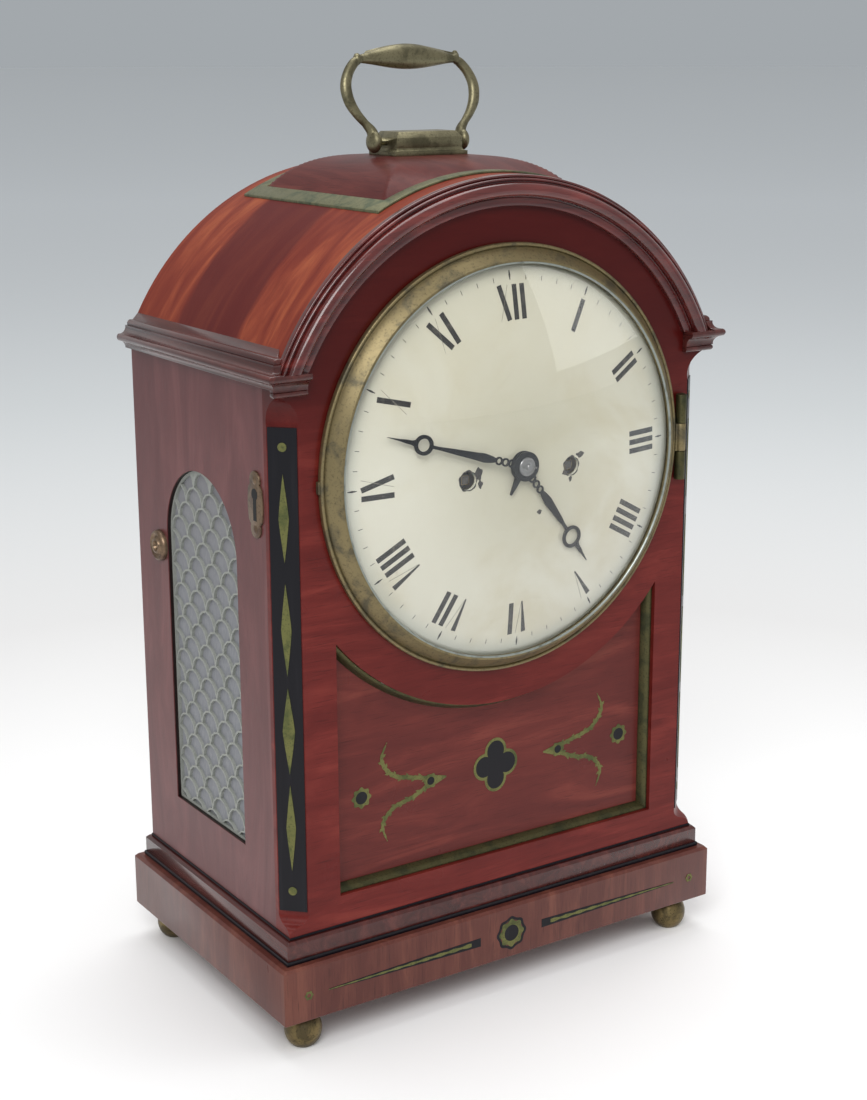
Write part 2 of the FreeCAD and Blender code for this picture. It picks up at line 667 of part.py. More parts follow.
def handle():
    """Cast bail: two curved arms from the pivots and a spindle-shaped grip between them."""
    top = HANDLE_Z + HANDLE_REACH
    wide, half = HANDLE_ARM / 2, HANDLE_THICK / 2
    eye = (HANDLE_PIVOT_HALF, HANDLE_Z)
    shoulder = (HANDLE_HALF - 8.6, top - 3.0)
    elbow = (HANDLE_HALF - 3.0, HANDLE_Z + 30.0)
    arm = drawn((eye[0] - wide, eye[1] + 2), (eye[0] + wide - 1, eye[1] + 2),
                ((elbow[0] - 0.8, HANDLE_Z + 15.5), (elbow[0] + wide - 0.4, elbow[1] - 2)),
                ((shoulder[0] + 5.4, top - 6.0), (shoulder[0] + 1.0, top + wide - 1.4)),
                (shoulder[0] - 3.0, top + wide - 2.6), (shoulder[0] - 3.0, top - wide + 0.4),
                ((shoulder[0] + 1.6, top - 7.0), (elbow[0] - wide, elbow[1] - 3)),
                ((elbow[0] - wide - 2.6, HANDLE_Z + 15.5), (eye[0] - wide + 0.4, eye[1] + 4)))
    right = slab(MIDDLE_Y - half, MIDDLE_Y + half, arm)
    ball = Part.makeCylinder(HANDLE_BALL, HANDLE_THICK, Vector(eye[0] - half, MIDDLE_Y, eye[1]),
                             Vector(1, 0, 0))
    bore = Part.makeCylinder(HANDLE_PIN + RUNNING_GAP, 2 * HANDLE_THICK,
                             Vector(eye[0] - HANDLE_THICK, MIDDLE_Y, eye[1]), Vector(1, 0, 0))
    right = right.fuse(ball).cut(bore)
    ends = shoulder[0] - 2.5
    stations = ((0, -ends), (GRIP_NECK, -ends), (GRIP_NECK + 1.4, -0.6 * ends),
                (GRIP_RADIUS, -0.22 * ends), (GRIP_RADIUS, 0.22 * ends),
                (GRIP_NECK + 1.4, 0.6 * ends), (GRIP_NECK, ends), (0, ends))
    place = lambda radius, x: Vector(x, MIDDLE_Y, top + radius)
    grip = Part.Face(outline(place, stations[0], *stations[1:])).revolve(
        Vector(0, MIDDLE_Y, top), Vector(1, 0, 0), 360)
    bail = grip.fuse(right).fuse(mirrored(right))
    bail.rotate(Vector(0, MIDDLE_Y, HANDLE_Z), Vector(1, 0, 0), -HANDLE_LEAN)
    return bail


def back_frame():
    return slab(BACK - BOARD, BACK, board_outline(HALF - BOARD), door_outline(0))


def door_outline(inset):
    half, bottom = DOOR_HALF - inset, FLOOR + DOOR_RISE + inset
    radius = DOOR_ARCH - inset
    return drawn((-half, bottom), (half, bottom), (half, arch_spring(half, radius)),
                 arch_edge(half, radius))


def rear_door():
    return slab(BACK - BOARD, BACK, door_outline(DOOR_GAP), door_outline(DOOR_GAP + DOOR_STILE))


def rear_pane():
    middle = BACK - BOARD / 2
    return slab(middle - PANE_THICK / 2, middle + PANE_THICK / 2,
                door_outline(DOOR_GAP + DOOR_STILE))


def hinge_heights():
    """Where the moving knuckles of the rear hinges start."""
    return [FLOOR + DOOR_RISE + share * (SPRING - FLOOR) for share in DOOR_HINGES]


def hinge_half(low, leaf_start):
    """One knuckle of a rear hinge with its leaf."""
    knuckle = Part.makeCylinder(KNUCKLE_RADIUS, KNUCKLE_LENGTH,
                                Vector(DOOR_HALF, BACK + KNUCKLE_OUT, low), Vector(0, 0, 1))
    leaf = box(leaf_start, leaf_start + LEAF_WIDTH - DOOR_GAP, BACK, BACK + LEAF_THICK, low,
               low + KNUCKLE_LENGTH)
    return knuckle.fuse(leaf)


def rear_door_fittings():
    """Hinge knuckles with their leaves, and the knob, on the rear door."""
    made = [hinge_half(low, DOOR_HALF - LEAF_WIDTH) for low in hinge_heights()]
    knob = (DOOR_STILE / 2 - DOOR_HALF, (FLOOR + SPRING) / 2)
    stem = rod(knob, KNUCKLE_RADIUS, BACK, BACK + KNOB_STEM + LEAF_THICK)
    made.append(stem.fuse(rod(knob, KNOB_RADIUS, BACK + KNOB_STEM, BACK + KNOB_STEM + KNOB_THICK)))
    return Part.makeCompound(made)


def rear_hinge_plates():
    """The fixed knuckles of the rear hinges, above and below those on the door."""
    step = KNUCKLE_LENGTH + KNUCKLE_GAP
    return Part.makeCompound([hinge_half(low + side * step, DOOR_HALF)
                              for low in hinge_heights() for side in (-1, 1)])


def left_brasses():
    """Keyhole plate and the round cord boss on the left side board."""
    y, z, radius = FRONT + KEYPLATE_SETBACK, AXIS_Z - KEYPLATE_DROP, KEYPLATE_WIDTH / 2
    straight = KEYPLATE_HEIGHT / 2 - radius
    wide, low = KEYHOLE_WIDTH / 2, z - KEYHOLE_HEIGHT / 2
    eye = (y, z + KEYHOLE_HEIGHT / 2 - KEYHOLE_EYE)
    neck = math.degrees(math.acos(wide / KEYHOLE_EYE))
    key_plate = side_slab(-HALF - KEYPLATE_THICK, -HALF,
                          drawn((y - radius, z - straight),
                                arc_to((y, z - straight), radius, 180, 360),
                                (y + radius, z + straight),
                                arc_to((y, z + straight), radius, 0, 180)),
                          drawn((y - wide, low), (y + wide, low),
                                polar(eye, KEYHOLE_EYE, -neck),
                                arc_to(eye, KEYHOLE_EYE, -neck, 180 + neck)))
    boss_y, boss_z = FRET_Y + FRET_HALF + BOSS_BESIDE, AXIS_Z - BOSS_DROP
    across = lambda radius, start, end: Part.makeCylinder(
        radius, end - start, Vector(start, boss_y, boss_z), Vector(1, 0, 0))
    boss = across(BOSS_RADIUS, -HALF - 2.0, -HALF).fuse(across(BOSS_STEP, -HALF - 4.0, -HALF - 1))
    return Part.makeCompound([key_plate, boss.cut(across(BOSS_EYE, -HALF - 5, -HALF))])


# ---------------------------------------------------------------- bezel, glass, dial
def bezel():
    """Turned brass ring on its hinge knuckles, with the catch plate opposite."""
    y = proud
    ring = turned(CENTRE, (BEZEL_BORE, y(BEZEL_GAP)), (BEZEL_OUTER, y(BEZEL_GAP)),
                  (BEZEL_OUTER, y(BEZEL_RIM)), (BEZEL_OUTER - 1.8, y(BEZEL_RIM + 1.2)),
                  (BEZEL_SIGHT + 3.6, y(BEZEL_PROUD)), (BEZEL_SIGHT, y(BEZEL_PROUD)),
                  (BEZEL_SIGHT, y(BEZEL_PROUD - BEZEL_LIP)), (BEZEL_BORE, y(BEZEL_PROUD - BEZEL_LIP)))
    x, y_pin = hinge_axis()
    third = HINGE_LENGTH / 3
    knuckle = Part.makeCylinder(HINGE_RADIUS, third - 0.6,
                                Vector(x, y_pin, AXIS_Z - third / 2 + 0.3), Vector(0, 0, 1))
    strap = box(x - HINGE_RADIUS - 1.4, x, y_pin - 1, y_pin + 1, AXIS_Z - third / 2 + 0.3,
                AXIS_Z + third / 2 - 0.3)
    hole = Part.makeCylinder(HINGE_PIN + RUNNING_GAP, HINGE_LENGTH,
                             Vector(x, y_pin, AXIS_Z - HINGE_LENGTH / 2), Vector(0, 0, 1))
    catch = box(-BEZEL_OUTER - 1.6, -BEZEL_OUTER + 1.0, y(BEZEL_RIM - 0.6), y(BEZEL_GAP),
                AXIS_Z - 12.5, AXIS_Z + 12.5)
    return ring.fuse(knuckle.fuse(strap).cut(hole)).fuse(catch)


def hinge_axis():
    """Where the bezel's hinge pin stands, as x and y."""
    return BEZEL_OUTER + HINGE_RADIUS + 0.3, proud(HINGE_RADIUS + 0.35)


def bezel_hinge():
    """The fixed upper and lower knuckles, their leaf and the pin."""
    x, y = hinge_axis()
    third = HINGE_LENGTH / 3
    low = AXIS_Z - HINGE_LENGTH / 2
    pin = Part.makeCylinder(HINGE_PIN, HINGE_LENGTH, Vector(x, y, low), Vector(0, 0, 1))
    made = pin
    for start in (low, low + 2 * third):
        made = made.fuse(Part.makeCylinder(HINGE_RADIUS, third, Vector(x, y, start), Vector(0, 0, 1)))
        made = made.fuse(box(x, HALF - POST, FRONT - 1.0, FRONT, start, start + third))
        made = made.fuse(box(x - 0.8, x + 0.8, y, FRONT, start, start + third))
    return made


def dome(sag, radius, top, *stations):
    """Points on a shallow dome, as (radius, y)."""
    return [(r, proud(top - sag * (r / radius) ** 2)) for r in stations]


def bezel_glass():
    """Convex glass, held behind the bezel's lip."""
    radius = BEZEL_BORE - 1.0
    outer = dome(GLASS_SAG, radius, GLASS_APEX, 0, radius / 3, 2 * radius / 3, radius)
    inner = dome(GLASS_SAG, radius, GLASS_APEX - GLASS_THICK, radius, 2 * radius / 3, radius / 3, 0)
    return turned(CENTRE, *(outer + inner))


def dial():
    """Convex painted iron dial with its holes, and the feet that pin it to the movement."""
    knee = DIAL_KNEE * DIAL_RADIUS
    outer = dome(DIAL_SAG, DIAL_RADIUS, DIAL_PROUD, 0, knee, DIAL_RADIUS)
    inner = dome(DIAL_SAG, DIAL_RADIUS, DIAL_PROUD - DIAL_THICK, DIAL_RADIUS, knee, 0)
    plate = turned(CENTRE, *(outer + inner))
    for centre, radius in ((CENTRE, HAND_HOLE), (GOING, WINDING_HOLE), (STRIKE, WINDING_HOLE)):
        plate = plate.cut(rod(centre, radius, proud(2 * DIAL_PROUD), FRONT))
    foot_start = outer[1][1] + DIAL_THICK / 2
    for angle in (50, 130, 270):
        plate = plate.fuse(rod(polar(CENTRE, knee, angle), DIAL_FOOT, foot_start, PLATE_FRONT))
    return plate


# ---------------------------------------------------------------- hands
def bent_shell(back, fall, radius):
    """A thin dome that the hands follow, so that they stay close to the convex dial."""
    stations = (0, radius / 3, 2 * radius / 3, radius)
    rear = [(r, proud(back - fall * (r / radius) ** 2)) for r in stations]
    face = [(r, y - HAND_THICK) for r, y in rear]
    return turned(CENTRE, *(face + rear[::-1]))


def hand(length, ring_at, degrees, back, fall, boss_hole, tail):
    """A pointed hand with a ring near its tip, a round boss and a short tail."""
    neck, swell = ring_at - HAND_EYE, 0.4 * ring_at
    y_front, y_back = proud(back + 3), FRONT
    flat = slab(y_front, y_back, drawn((0, 0), (1.5, 6), (1.2, 18), (2.0, swell), (0.8, neck),
                                       (-0.8, neck), (-2.0, swell), (-1.2, 18), (-1.5, 6)))
    flat = flat.fuse(slab(y_front, y_back, drawn((1.0, ring_at + HAND_EYE), (0, length),
                                                 (-1.0, ring_at + HAND_EYE))))
    flat = flat.fuse(slab(y_front, y_back, drawn((0, 0), (2.0, -6), (0, -tail), (-2.0, -6))))
    flat = flat.fuse(rod((0, ring_at), HAND_RING, y_front, y_back))
    flat = flat.cut(rod((0, ring_at), HAND_EYE, y_front, y_back))
    flat = flat.fuse(rod((0, 0), HAND_BOSS, y_front, y_back))
    flat = flat.cut(rod((0, 0), boss_hole, y_front, y_back))
    flat.translate(Vector(0, 0, AXIS_Z))
    made = flat.common(bent_shell(back, fall, length))
    made.rotate(Vector(0, 0, AXIS_Z), Vector(0, 1, 0), degrees)
    return made


def minute_hand():
    return hand(MINUTE_LENGTH, MINUTE_RING, CLOCK_MINUTES * 6, MINUTE_PROUD, MINUTE_FALL,
                CENTRE_ARBOR, 10)


def hour_hand():
    return hand(HOUR_LENGTH, HOUR_RING, CLOCK_HOURS * 30, HOUR_PROUD, HOUR_FALL, HOUR_PIPE, 16)


# ---------------------------------------------------------------- wheels
def gear(centre, teeth, module, y_start, y_end, phase, bore=0.0):
    """A toothed disc of pointed teeth; one tooth points along phase, in degrees."""
    pitch_radius = module * teeth / 2
    tip, root = pitch_radius + TOOTH_TIP * module, pitch_radius - TOOTH_ROOT * module
    points = []
    for tooth in range(teeth):
        at = phase + 360.0 * tooth / teeth
        points.append(polar(centre, tip, at))
        points.append(polar(centre, root, at + 180.0 / teeth))
    holes = [round_hole(centre, bore)] if bore else []
    return slab(y_start, y_end, drawn(points[0], *points[1:]), *holes)


def mesh_phase(driver, driven, driver_teeth, driven_teeth, driver_phase):
    """The driven wheel's phase, with its gap at the driver's tooth on the line of centres."""
    line = math.degrees(math.atan2(driven[1] - driver[1], driven[0] - driver[0]))
    pitch = 360.0 / driver_teeth
    share = ((driver_phase - line) / pitch) % 1.0
    return line + 180.0 + (0.5 - share) * 360.0 / driven_teeth


def module_of(distance, driver_teeth, driven_teeth):
    return 2 * distance / (driver_teeth + driven_teeth)


def arbor(centre, y_start=None, y_end=None, radius=ARBOR):
    """A plain arbor between the plates, with a little end shake."""
    y_start = TRAIN_START + END_SHAKE if y_start is None else y_start
    y_end = TRAIN_END - END_SHAKE if y_end is None else y_end
    return rod(centre, radius, y_start, y_end)


def winding_arbor(centre):
    """An arbor that goes through the front plate and ends in a square behind the dial."""
    return arbor(centre, PLATE_FRONT - 4, None, 2.6).fuse(
        box(centre[0] - SQUARE_HALF, centre[0] + SQUARE_HALF, proud(DIAL_PROUD - 3.4),
            PLATE_FRONT - 3, centre[1] - SQUARE_HALF, centre[1] + SQUARE_HALF))


def great_wheel(centre, y_wheel, phase):
    """Fusee cone on its great wheel."""
    module = module_of(GREAT_DISTANCE, GREAT_TEETH, CENTRE_PINION_TEETH)
    wheel = gear(centre, GREAT_TEETH, module, y_wheel, y_wheel + 3, phase)
    end = y_wheel + 27
    cone = turned(centre, (0, y_wheel + 2), (FUSEE_WIDE, y_wheel + 2), (FUSEE_WIDE, y_wheel + 6),
                  (FUSEE_NARROW, end), (0, end))
    return wheel.fuse(cone).fuse(winding_arbor(centre))


GREAT_PHASE = 3.0
CENTRE_PHASE = mesh_phase(GOING, CENTRE, GREAT_TEETH, CENTRE_PINION_TEETH, GREAT_PHASE)


def going_fusee():
    return great_wheel(GOING, TRAIN_START + 4, GREAT_PHASE)


def strike_fusee():
    return great_wheel(STRIKE, TRAIN_START + 11, GREAT_PHASE)


def barrel(centre):
    """Drum of a mainspring on its arbor."""
    drum = rod(centre, BARREL_RADIUS, TRAIN_START + 6, TRAIN_END - 6)
    return drum.fuse(arbor(centre, radius=2.6))


def wheel_and_pinion(centre, pinion, wheel, pinion_y, wheel_y, phase):
    """Pinion and wheel on one arbor; each is (teeth, module) and they share a phase."""
    made = gear(centre, pinion[0], pinion[1], pinion_y, pinion_y + PINION_LENGTH, phase)
    made = made.fuse(gear(centre, wheel[0], wheel[1], wheel_y, wheel_y + WHEEL_THICK, phase))
    return made


CENTRE_WHEEL_Y = TRAIN_START + 44
THIRD_WHEEL_Y = TRAIN_START + 34
THIRD_PHASE = mesh_phase(CENTRE, THIRD, CENTRE_TEETH, THIRD_PINION_TEETH, CENTRE_PHASE)
ESCAPE_PHASE = mesh_phase(THIRD, ESCAPE, THIRD_TEETH, ESCAPE_PINION_TEETH, THIRD_PHASE)


def centre_arbor():
    """Centre wheel and pinion on the arbor that carries the minute hand."""
    pinion = (CENTRE_PINION_TEETH, module_of(GREAT_DISTANCE, GREAT_TEETH, CENTRE_PINION_TEETH))
    wheel = (CENTRE_TEETH, module_of(THIRD_DISTANCE, CENTRE_TEETH, THIRD_PINION_TEETH))
    made = wheel_and_pinion(CENTRE, pinion, wheel, TRAIN_START + 3, CENTRE_WHEEL_Y, CENTRE_PHASE)
    shaft = arbor(CENTRE, proud(MINUTE_PROUD), None, CENTRE_ARBOR)
    cannon = gear(CENTRE, CANNON_TEETH, motion_module(), PLATE_FRONT - 4, PLATE_FRONT - 1, 0)
    return made.fuse(shaft).fuse(cannon)


def hand_collet():
    """Domed collet and taper pin in front of the minute hand."""
    start = proud(MINUTE_PROUD + HAND_THICK)
    tip = start - 2.8
    return turned(CENTRE, (0, proud(MINUTE_PROUD)), (CENTRE_ARBOR, proud(MINUTE_PROUD)),
                  (CENTRE_ARBOR, start), (4.7, start), (4.7, start - 1.4),
                  (CENTRE_ARBOR, start - 1.4), (CENTRE_ARBOR, tip), (0, tip))


def third_wheel():
    pinion = (THIRD_PINION_TEETH, module_of(THIRD_DISTANCE, CENTRE_TEETH, THIRD_PINION_TEETH))
    wheel = (THIRD_TEETH, module_of(ESCAPE_DISTANCE, THIRD_TEETH, ESCAPE_PINION_TEETH))
    made = wheel_and_pinion(THIRD, pinion, wheel, TRAIN_START + 42.5, THIRD_WHEEL_Y, THIRD_PHASE)
    return made.fuse(arbor(THIRD))


ESCAPE_MODULE = 1.0
ESCAPE_Y = TRAIN_START + 42
PALLET = (0.0, ESCAPE[1] + PALLET_RISE)


def escape_wheel():
    pinion = (ESCAPE_PINION_TEETH, module_of(ESCAPE_DISTANCE, THIRD_TEETH, ESCAPE_PINION_TEETH))
    made = wheel_and_pinion(ESCAPE, pinion, (ESCAPE_TEETH, ESCAPE_MODULE), THIRD_WHEEL_Y - 2,
                            ESCAPE_Y, ESCAPE_PHASE)
    return made.fuse(arbor(ESCAPE))


def motion_module():
    return module_of(MOTION_DISTANCE, CANNON_TEETH, MINUTE_TEETH)


MOTION = (-MOTION_DISTANCE * 0.6, AXIS_Z + MOTION_DISTANCE * 0.8)
HOUR_WHEEL_Y = PLATE_FRONT - 8
MOTION_PHASE = mesh_phase(CENTRE, MOTION, CANNON_TEETH, MINUTE_TEETH, 0)
HOUR_MODULE = module_of(MOTION_DISTANCE, MINUTE_PINION_TEETH, HOUR_TEETH)
HOUR_PHASE = mesh_phase(MOTION, CENTRE, MINUTE_PINION_TEETH, HOUR_TEETH, MOTION_PHASE)


def minute_wheel():
    """Minute wheel with its pinion, on a stud of the front plate."""
    made = gear(MOTION, MINUTE_TEETH, motion_module(), PLATE_FRONT - 3.5, PLATE_FRONT - 1.5,
                MOTION_PHASE)
    return made.fuse(gear(MOTION, MINUTE_PINION_TEETH, HOUR_MODULE, HOUR_WHEEL_Y - 0.5,
                          PLATE_FRONT - 3.4, MOTION_PHASE)).cut(
        rod(MOTION, 1.0 + RUNNING_GAP, PLATE_FRONT - 10, PLATE_FRONT))


def hour_wheel():
    """Hour wheel on its pipe, which carries the hour hand."""
    wheel = gear(CENTRE, HOUR_TEETH, HOUR_MODULE, HOUR_WHEEL_Y, HOUR_WHEEL_Y + 2, HOUR_PHASE)
    pipe = rod(CENTRE, HOUR_PIPE, proud(HOUR_PROUD + HAND_THICK), HOUR_WHEEL_Y + 1)
    bore = rod(CENTRE, CENTRE_ARBOR + RUNNING_GAP, proud(2 * HOUR_PROUD), HOUR_WHEEL_Y + 3)
    return wheel.fuse(pipe).cut(bore)


# the striking train's second wheel
PIN_AT = polar(STRIKE, GREAT_DISTANCE, 112)
PIN_PHASE = mesh_phase(STRIKE, PIN_AT, GREAT_TEETH, PIN_PINION_TEETH, GREAT_PHASE)


def pin_wheel():
    """Wheel of the striking train whose pins lift the hammer."""
    pinion = (PIN_PINION_TEETH, module_of(GREAT_DISTANCE, GREAT_TEETH, PIN_PINION_TEETH))
    wheel_y = TRAIN_START + 43.5
    made = wheel_and_pinion(PIN_AT, pinion, (PIN_TEETH, 1.0), TRAIN_START + 10, wheel_y, PIN_PHASE)
    return made.fuse(arbor(PIN_AT))


# ---------------------------------------------------------------- movement frame
def plate_corners():
    x = PLATE_HALF - PILLAR_INSET
    return [(side * x, z) for side in (-1, 1)
            for z in (PLATE_BOTTOM + PILLAR_INSET, AXIS_Z + PLATE_TOP - PILLAR_INSET)]


def plate(y_start, holes):
    half, top = PLATE_HALF, AXIS_Z + PLATE_TOP
    whole = drawn((-half, PLATE_BOTTOM), (half, PLATE_BOTTOM), (half, top), (-half, top))
    return slab(y_start, y_start + PLATE_THICK, whole,
                *[round_hole(centre, radius + RUNNING_GAP) for centre, radius in holes])


def front_plate():
    """Front plate with the stud of the minute wheel."""
    made = plate(PLATE_FRONT, ((CENTRE, CENTRE_ARBOR), (GOING, 2.6), (STRIKE, 2.6)))
    return made.fuse(rod(MOTION, 1.0, HOUR_WHEEL_Y - 1, PLATE_FRONT))


def back_plate():
    return plate(TRAIN_END, ((PALLET, ARBOR),))


def pillars():
    return Part.makeCompound([rod(corner, PILLAR_RADIUS, TRAIN_START, TRAIN_END)
                              for corner in plate_corners()])


def seat_board():
    """Shelf on two cleats, on which the plates stand."""
    back = TRAIN_END + PLATE_THICK + 2
    half = HALF - BOARD
    shelf = box(-half, half, FRONT + POST, back, PLATE_BOTTOM - SEAT_THICK, PLATE_BOTTOM)
    cleat = box(half - BOARD, half, FRONT + POST, back, PLATE_BOTTOM - 3 * SEAT_THICK,
                PLATE_BOTTOM - SEAT_THICK)
    return shelf.fuse(cleat).fuse(mirrored(cleat))


BOB_Y = TRAIN_END + PLATE_THICK + BOB_BEHIND


def anchor_span():
    """Half the span of the anchor, beside the escape wheel."""
    return ESCAPE_MODULE * (ESCAPE_TEETH / 2 + TOOTH_TIP) - 2.0


def pallets():
    """Anchor, pallet arbor and crutch in one rocking piece."""
    y, span, arm = ESCAPE_Y - 1, anchor_span(), PALLET[1]
    anchor = slab(y, y + ANCHOR_THICK,
                  drawn((-span, arm - 7), (2 - span, arm - 4), (0, arm - 2), (span - 2, arm - 4),
                        (span, arm - 7), (span + ARBOR, arm - 2), (0, arm + 4),
                        (-span - ARBOR, arm - 2)))
    shaft = rod(PALLET, ARBOR, TRAIN_START + END_SHAKE, BOB_Y - 3)
    crutch = box(-1.5, 1.5, BOB_Y - 5, BOB_Y - 3, arm - CRUTCH_LENGTH, arm + 3)
    return anchor.fuse(shaft).fuse(crutch)


def back_cock():
    """Bracket on the back plate from which the pendulum hangs."""
    top = PALLET[1] + SUSPENSION_RISE + 2.3
    y = TRAIN_END + PLATE_THICK
    post = box(-COCK_HALF, COCK_HALF, y, y + PLATE_THICK - 1, top - 5, top + 5)
    arm = box(-COCK_ARM, COCK_ARM, y + PLATE_THICK - 1, BOB_Y + 3, top - 2, top + 5)
    return post.fuse(arm)


def pendulum():
    """Suspension spring, rod and disc bob."""
    top = PALLET[1] + SUSPENSION_RISE
    low = top - PENDULUM_LENGTH
    spring = box(-3, 3, BOB_Y - 0.3, BOB_Y + 0.3, top - SUSPENSION_LENGTH, top)
    bar = box(-ROD_HALF, ROD_HALF, BOB_Y - 1, BOB_Y + 1, low + BOB_RADIUS - 3,
              top - SUSPENSION_LENGTH + 2)
    half = BOB_THICK / 2
    disc = turned((0, low), (0, BOB_Y - half), (BOB_RADIUS / 2, BOB_Y - half),
                  (BOB_RADIUS, BOB_Y), (BOB_RADIUS / 2, BOB_Y + half), (0, BOB_Y + half))
    return spring.fuse(bar).fuse(disc)


def bell():
    """Cup-shaped bell with its mouth down."""
    low, high = BELL_Z, BELL_Z + BELL_HEIGHT
    crown, wall = BELL_RADIUS - BELL_BEVEL, BELL_RADIUS - BELL_WALL
    outer = [(BELL_RADIUS, low), (BELL_RADIUS, high - BELL_BEVEL), (crown, high)]
    inner = [(crown, high - BELL_WALL), (wall, high - BELL_BEVEL - BELL_WALL), (wall, low)]
    points = [(0, high - BELL_WALL)] + inner + outer + [(0, high)]
    place = lambda radius, z: Vector(radius, BELL_Y, z)
    return Part.Face(outline(place, points[0], *points[1:])).revolve(
        Vector(0, BELL_Y, 0), Vector(0, 0, 1), 360)


def bell_stand():
    """Bent strip from the inner face of the front plate to the top of the bell."""
    y, low, top = TRAIN_START, AXIS_Z + PLATE_TOP - STAND_LAP, BELL_Z + BELL_HEIGHT
    half, thick = STAND_WIDTH / 2, STAND_THICK
    return prism([outline(side_view(-half), (y, low), (y + thick, low), (y + thick, top),
                          (BELL_Y + half, top), (BELL_Y + half, top + thick), (y, top + thick))],
                 Vector(STAND_WIDTH, 0, 0))


HAMMER_PIVOT = (HAMMER_SPREAD, AXIS_Z + HAMMER_RISE)


def hammer():
    """Hammer head on its arm and arbor, standing just clear of the bell."""
    shaft = arbor(HAMMER_PIVOT)
    head_x, top = BELL_RADIUS + HAMMER_GAP, BELL_Z + 8
    arm = box(HAMMER_SPREAD - 1.5, HAMMER_SPREAD + 1.5, BELL_Y - 2, BELL_Y + 2, HAMMER_PIVOT[1], top)
    head = box(head_x, HAMMER_SPREAD + 4, BELL_Y - 4, BELL_Y + 4, BELL_Z + 1, top)
    return shaft.fuse(arm).fuse(head)


NODES = {
    "base_plinth": base_plinth, "step_moulding": step_moulding, "feet": feet,
    "front_board": front_board, "sunk_panel": sunk_panel, "panel_slip": panel_slip,
    "corner_post_right": corner_post, "corner_post_left": lambda: mirrored(corner_post()),
    "corner_strips": corner_strips, "corner_inlays": corner_inlays,
    "side_board_right": side_board, "side_board_left": lambda: mirrored(side_board()),
    "fret_right": fret, "fret_left": lambda: mirrored(fret()),
    "fret_cloth_right": fret_cloth, "fret_cloth_left": lambda: mirrored(fret_cloth()),
    "vault": vault, "cornice_right": cornice, "cornice_left": lambda: mirrored(cornice()),
    "hood_moulding": hood_moulding, "pad_top": pad_top, "pad_border": pad_border,
    "handle_base": handle_base, "handle": handle, "back_frame": back_frame,
    "rear_door": rear_door, "rear_pane": rear_pane, "rear_door_fittings": rear_door_fittings,
    "rear_hinge_plates": rear_hinge_plates, "left_brasses": left_brasses,
    "bezel": bezel, "bezel_hinge": bezel_hinge, "bezel_glass": bezel_glass, "dial": dial,
    "minute_hand": minute_hand, "hour_hand": hour_hand, "hand_collet": hand_collet,
    "centre_arbor": centre_arbor, "hour_wheel": hour_wheel, "minute_wheel": minute_wheel,
    "going_fusee": going_fusee, "strike_fusee": strike_fusee,
    "going_barrel": lambda: barrel(GOING_BARREL), "strike_barrel": lambda: barrel(STRIKE_BARREL),
    "third_wheel": third_wheel, "escape_wheel": escape_wheel, "pin_wheel": pin_wheel,
    "front_plate": front_plate, "back_plate": back_plate, "pillars": pillars,
    "seat_board": seat_board, "pallets": pallets, "back_cock": back_cock,
    "pendulum": pendulum, "bell": bell, "bell_stand": bell_stand, "hammer": hammer,
}


def main():
    os.makedirs("parts", exist_ok=True)
    for name, make in NODES.items():
        shape = make()
        solids = shape.Solids
        if not solids or not shape.isValid():
            print("check", name, len(solids), shape.isValid())
        Part.makeCompound(solids).exportStep("parts/%s.step" % name)


main()
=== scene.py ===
"""Looks of an arched bracket clock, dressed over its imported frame.

Lengths inside the classes are millimetres in the frame's own axes: +Z is up, the dial
faces -Y and +X is to the right of somebody who looks at the dial.
"""
import logging
import math
from dataclasses import dataclass
from enum import Enum
from typing import Callable, Iterable, Optional, Sequence

import bmesh
import bpy
from mathutils import Matrix, Vector


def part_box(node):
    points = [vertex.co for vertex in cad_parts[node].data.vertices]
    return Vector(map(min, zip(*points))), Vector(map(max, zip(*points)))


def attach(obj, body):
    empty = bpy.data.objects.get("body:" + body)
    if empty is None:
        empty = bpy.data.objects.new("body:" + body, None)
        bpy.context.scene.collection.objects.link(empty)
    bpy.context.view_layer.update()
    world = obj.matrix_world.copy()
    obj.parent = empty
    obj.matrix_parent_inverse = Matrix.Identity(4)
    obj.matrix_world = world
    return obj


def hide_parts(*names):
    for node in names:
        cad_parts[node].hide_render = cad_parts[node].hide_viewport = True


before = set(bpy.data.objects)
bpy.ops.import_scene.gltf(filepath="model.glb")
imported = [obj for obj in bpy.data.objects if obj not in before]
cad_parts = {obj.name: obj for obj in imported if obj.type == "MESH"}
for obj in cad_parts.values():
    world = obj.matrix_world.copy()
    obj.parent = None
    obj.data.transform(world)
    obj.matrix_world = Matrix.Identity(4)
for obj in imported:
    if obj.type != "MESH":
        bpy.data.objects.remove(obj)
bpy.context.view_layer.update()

LOG = logging.getLogger("bracket_clock")
MM = 0.001
TURN = 2.0 * math.pi

Colour = tuple[float, float, float]
Point = tuple[float, float]
Place = Callable[[float, float, float], Vector]


# ---------------------------------------------------------------- places on the clock
def corner(node: str, high: bool) -> Vector:
    """Return one corner of a CAD node's box, in millimetres."""
    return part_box(node)[1 if high else 0] / MM


FRONT: float = corner("front_board", False).y
BACK: float = corner("back_frame", True).y
HALF: float = corner("side_board_right", True).x
MIDDLE_Y: float = (FRONT + BACK) / 2
AXIS_Z: float = (corner("bezel", True).z + corner("bezel", False).z) / 2
CROWN: float = corner("vault", True).z
SPRING: float = corner("side_board_right", True).z
FLOOR: float = corner("side_board_right", False).z
BASE_TOP: float = corner("base_plinth", True).z
VAULT_RADIUS: float = CROWN - AXIS_Z


def proud(distance: float) -> float:
    """Return the y of a plane in front of the case's front face."""
    return FRONT - distance


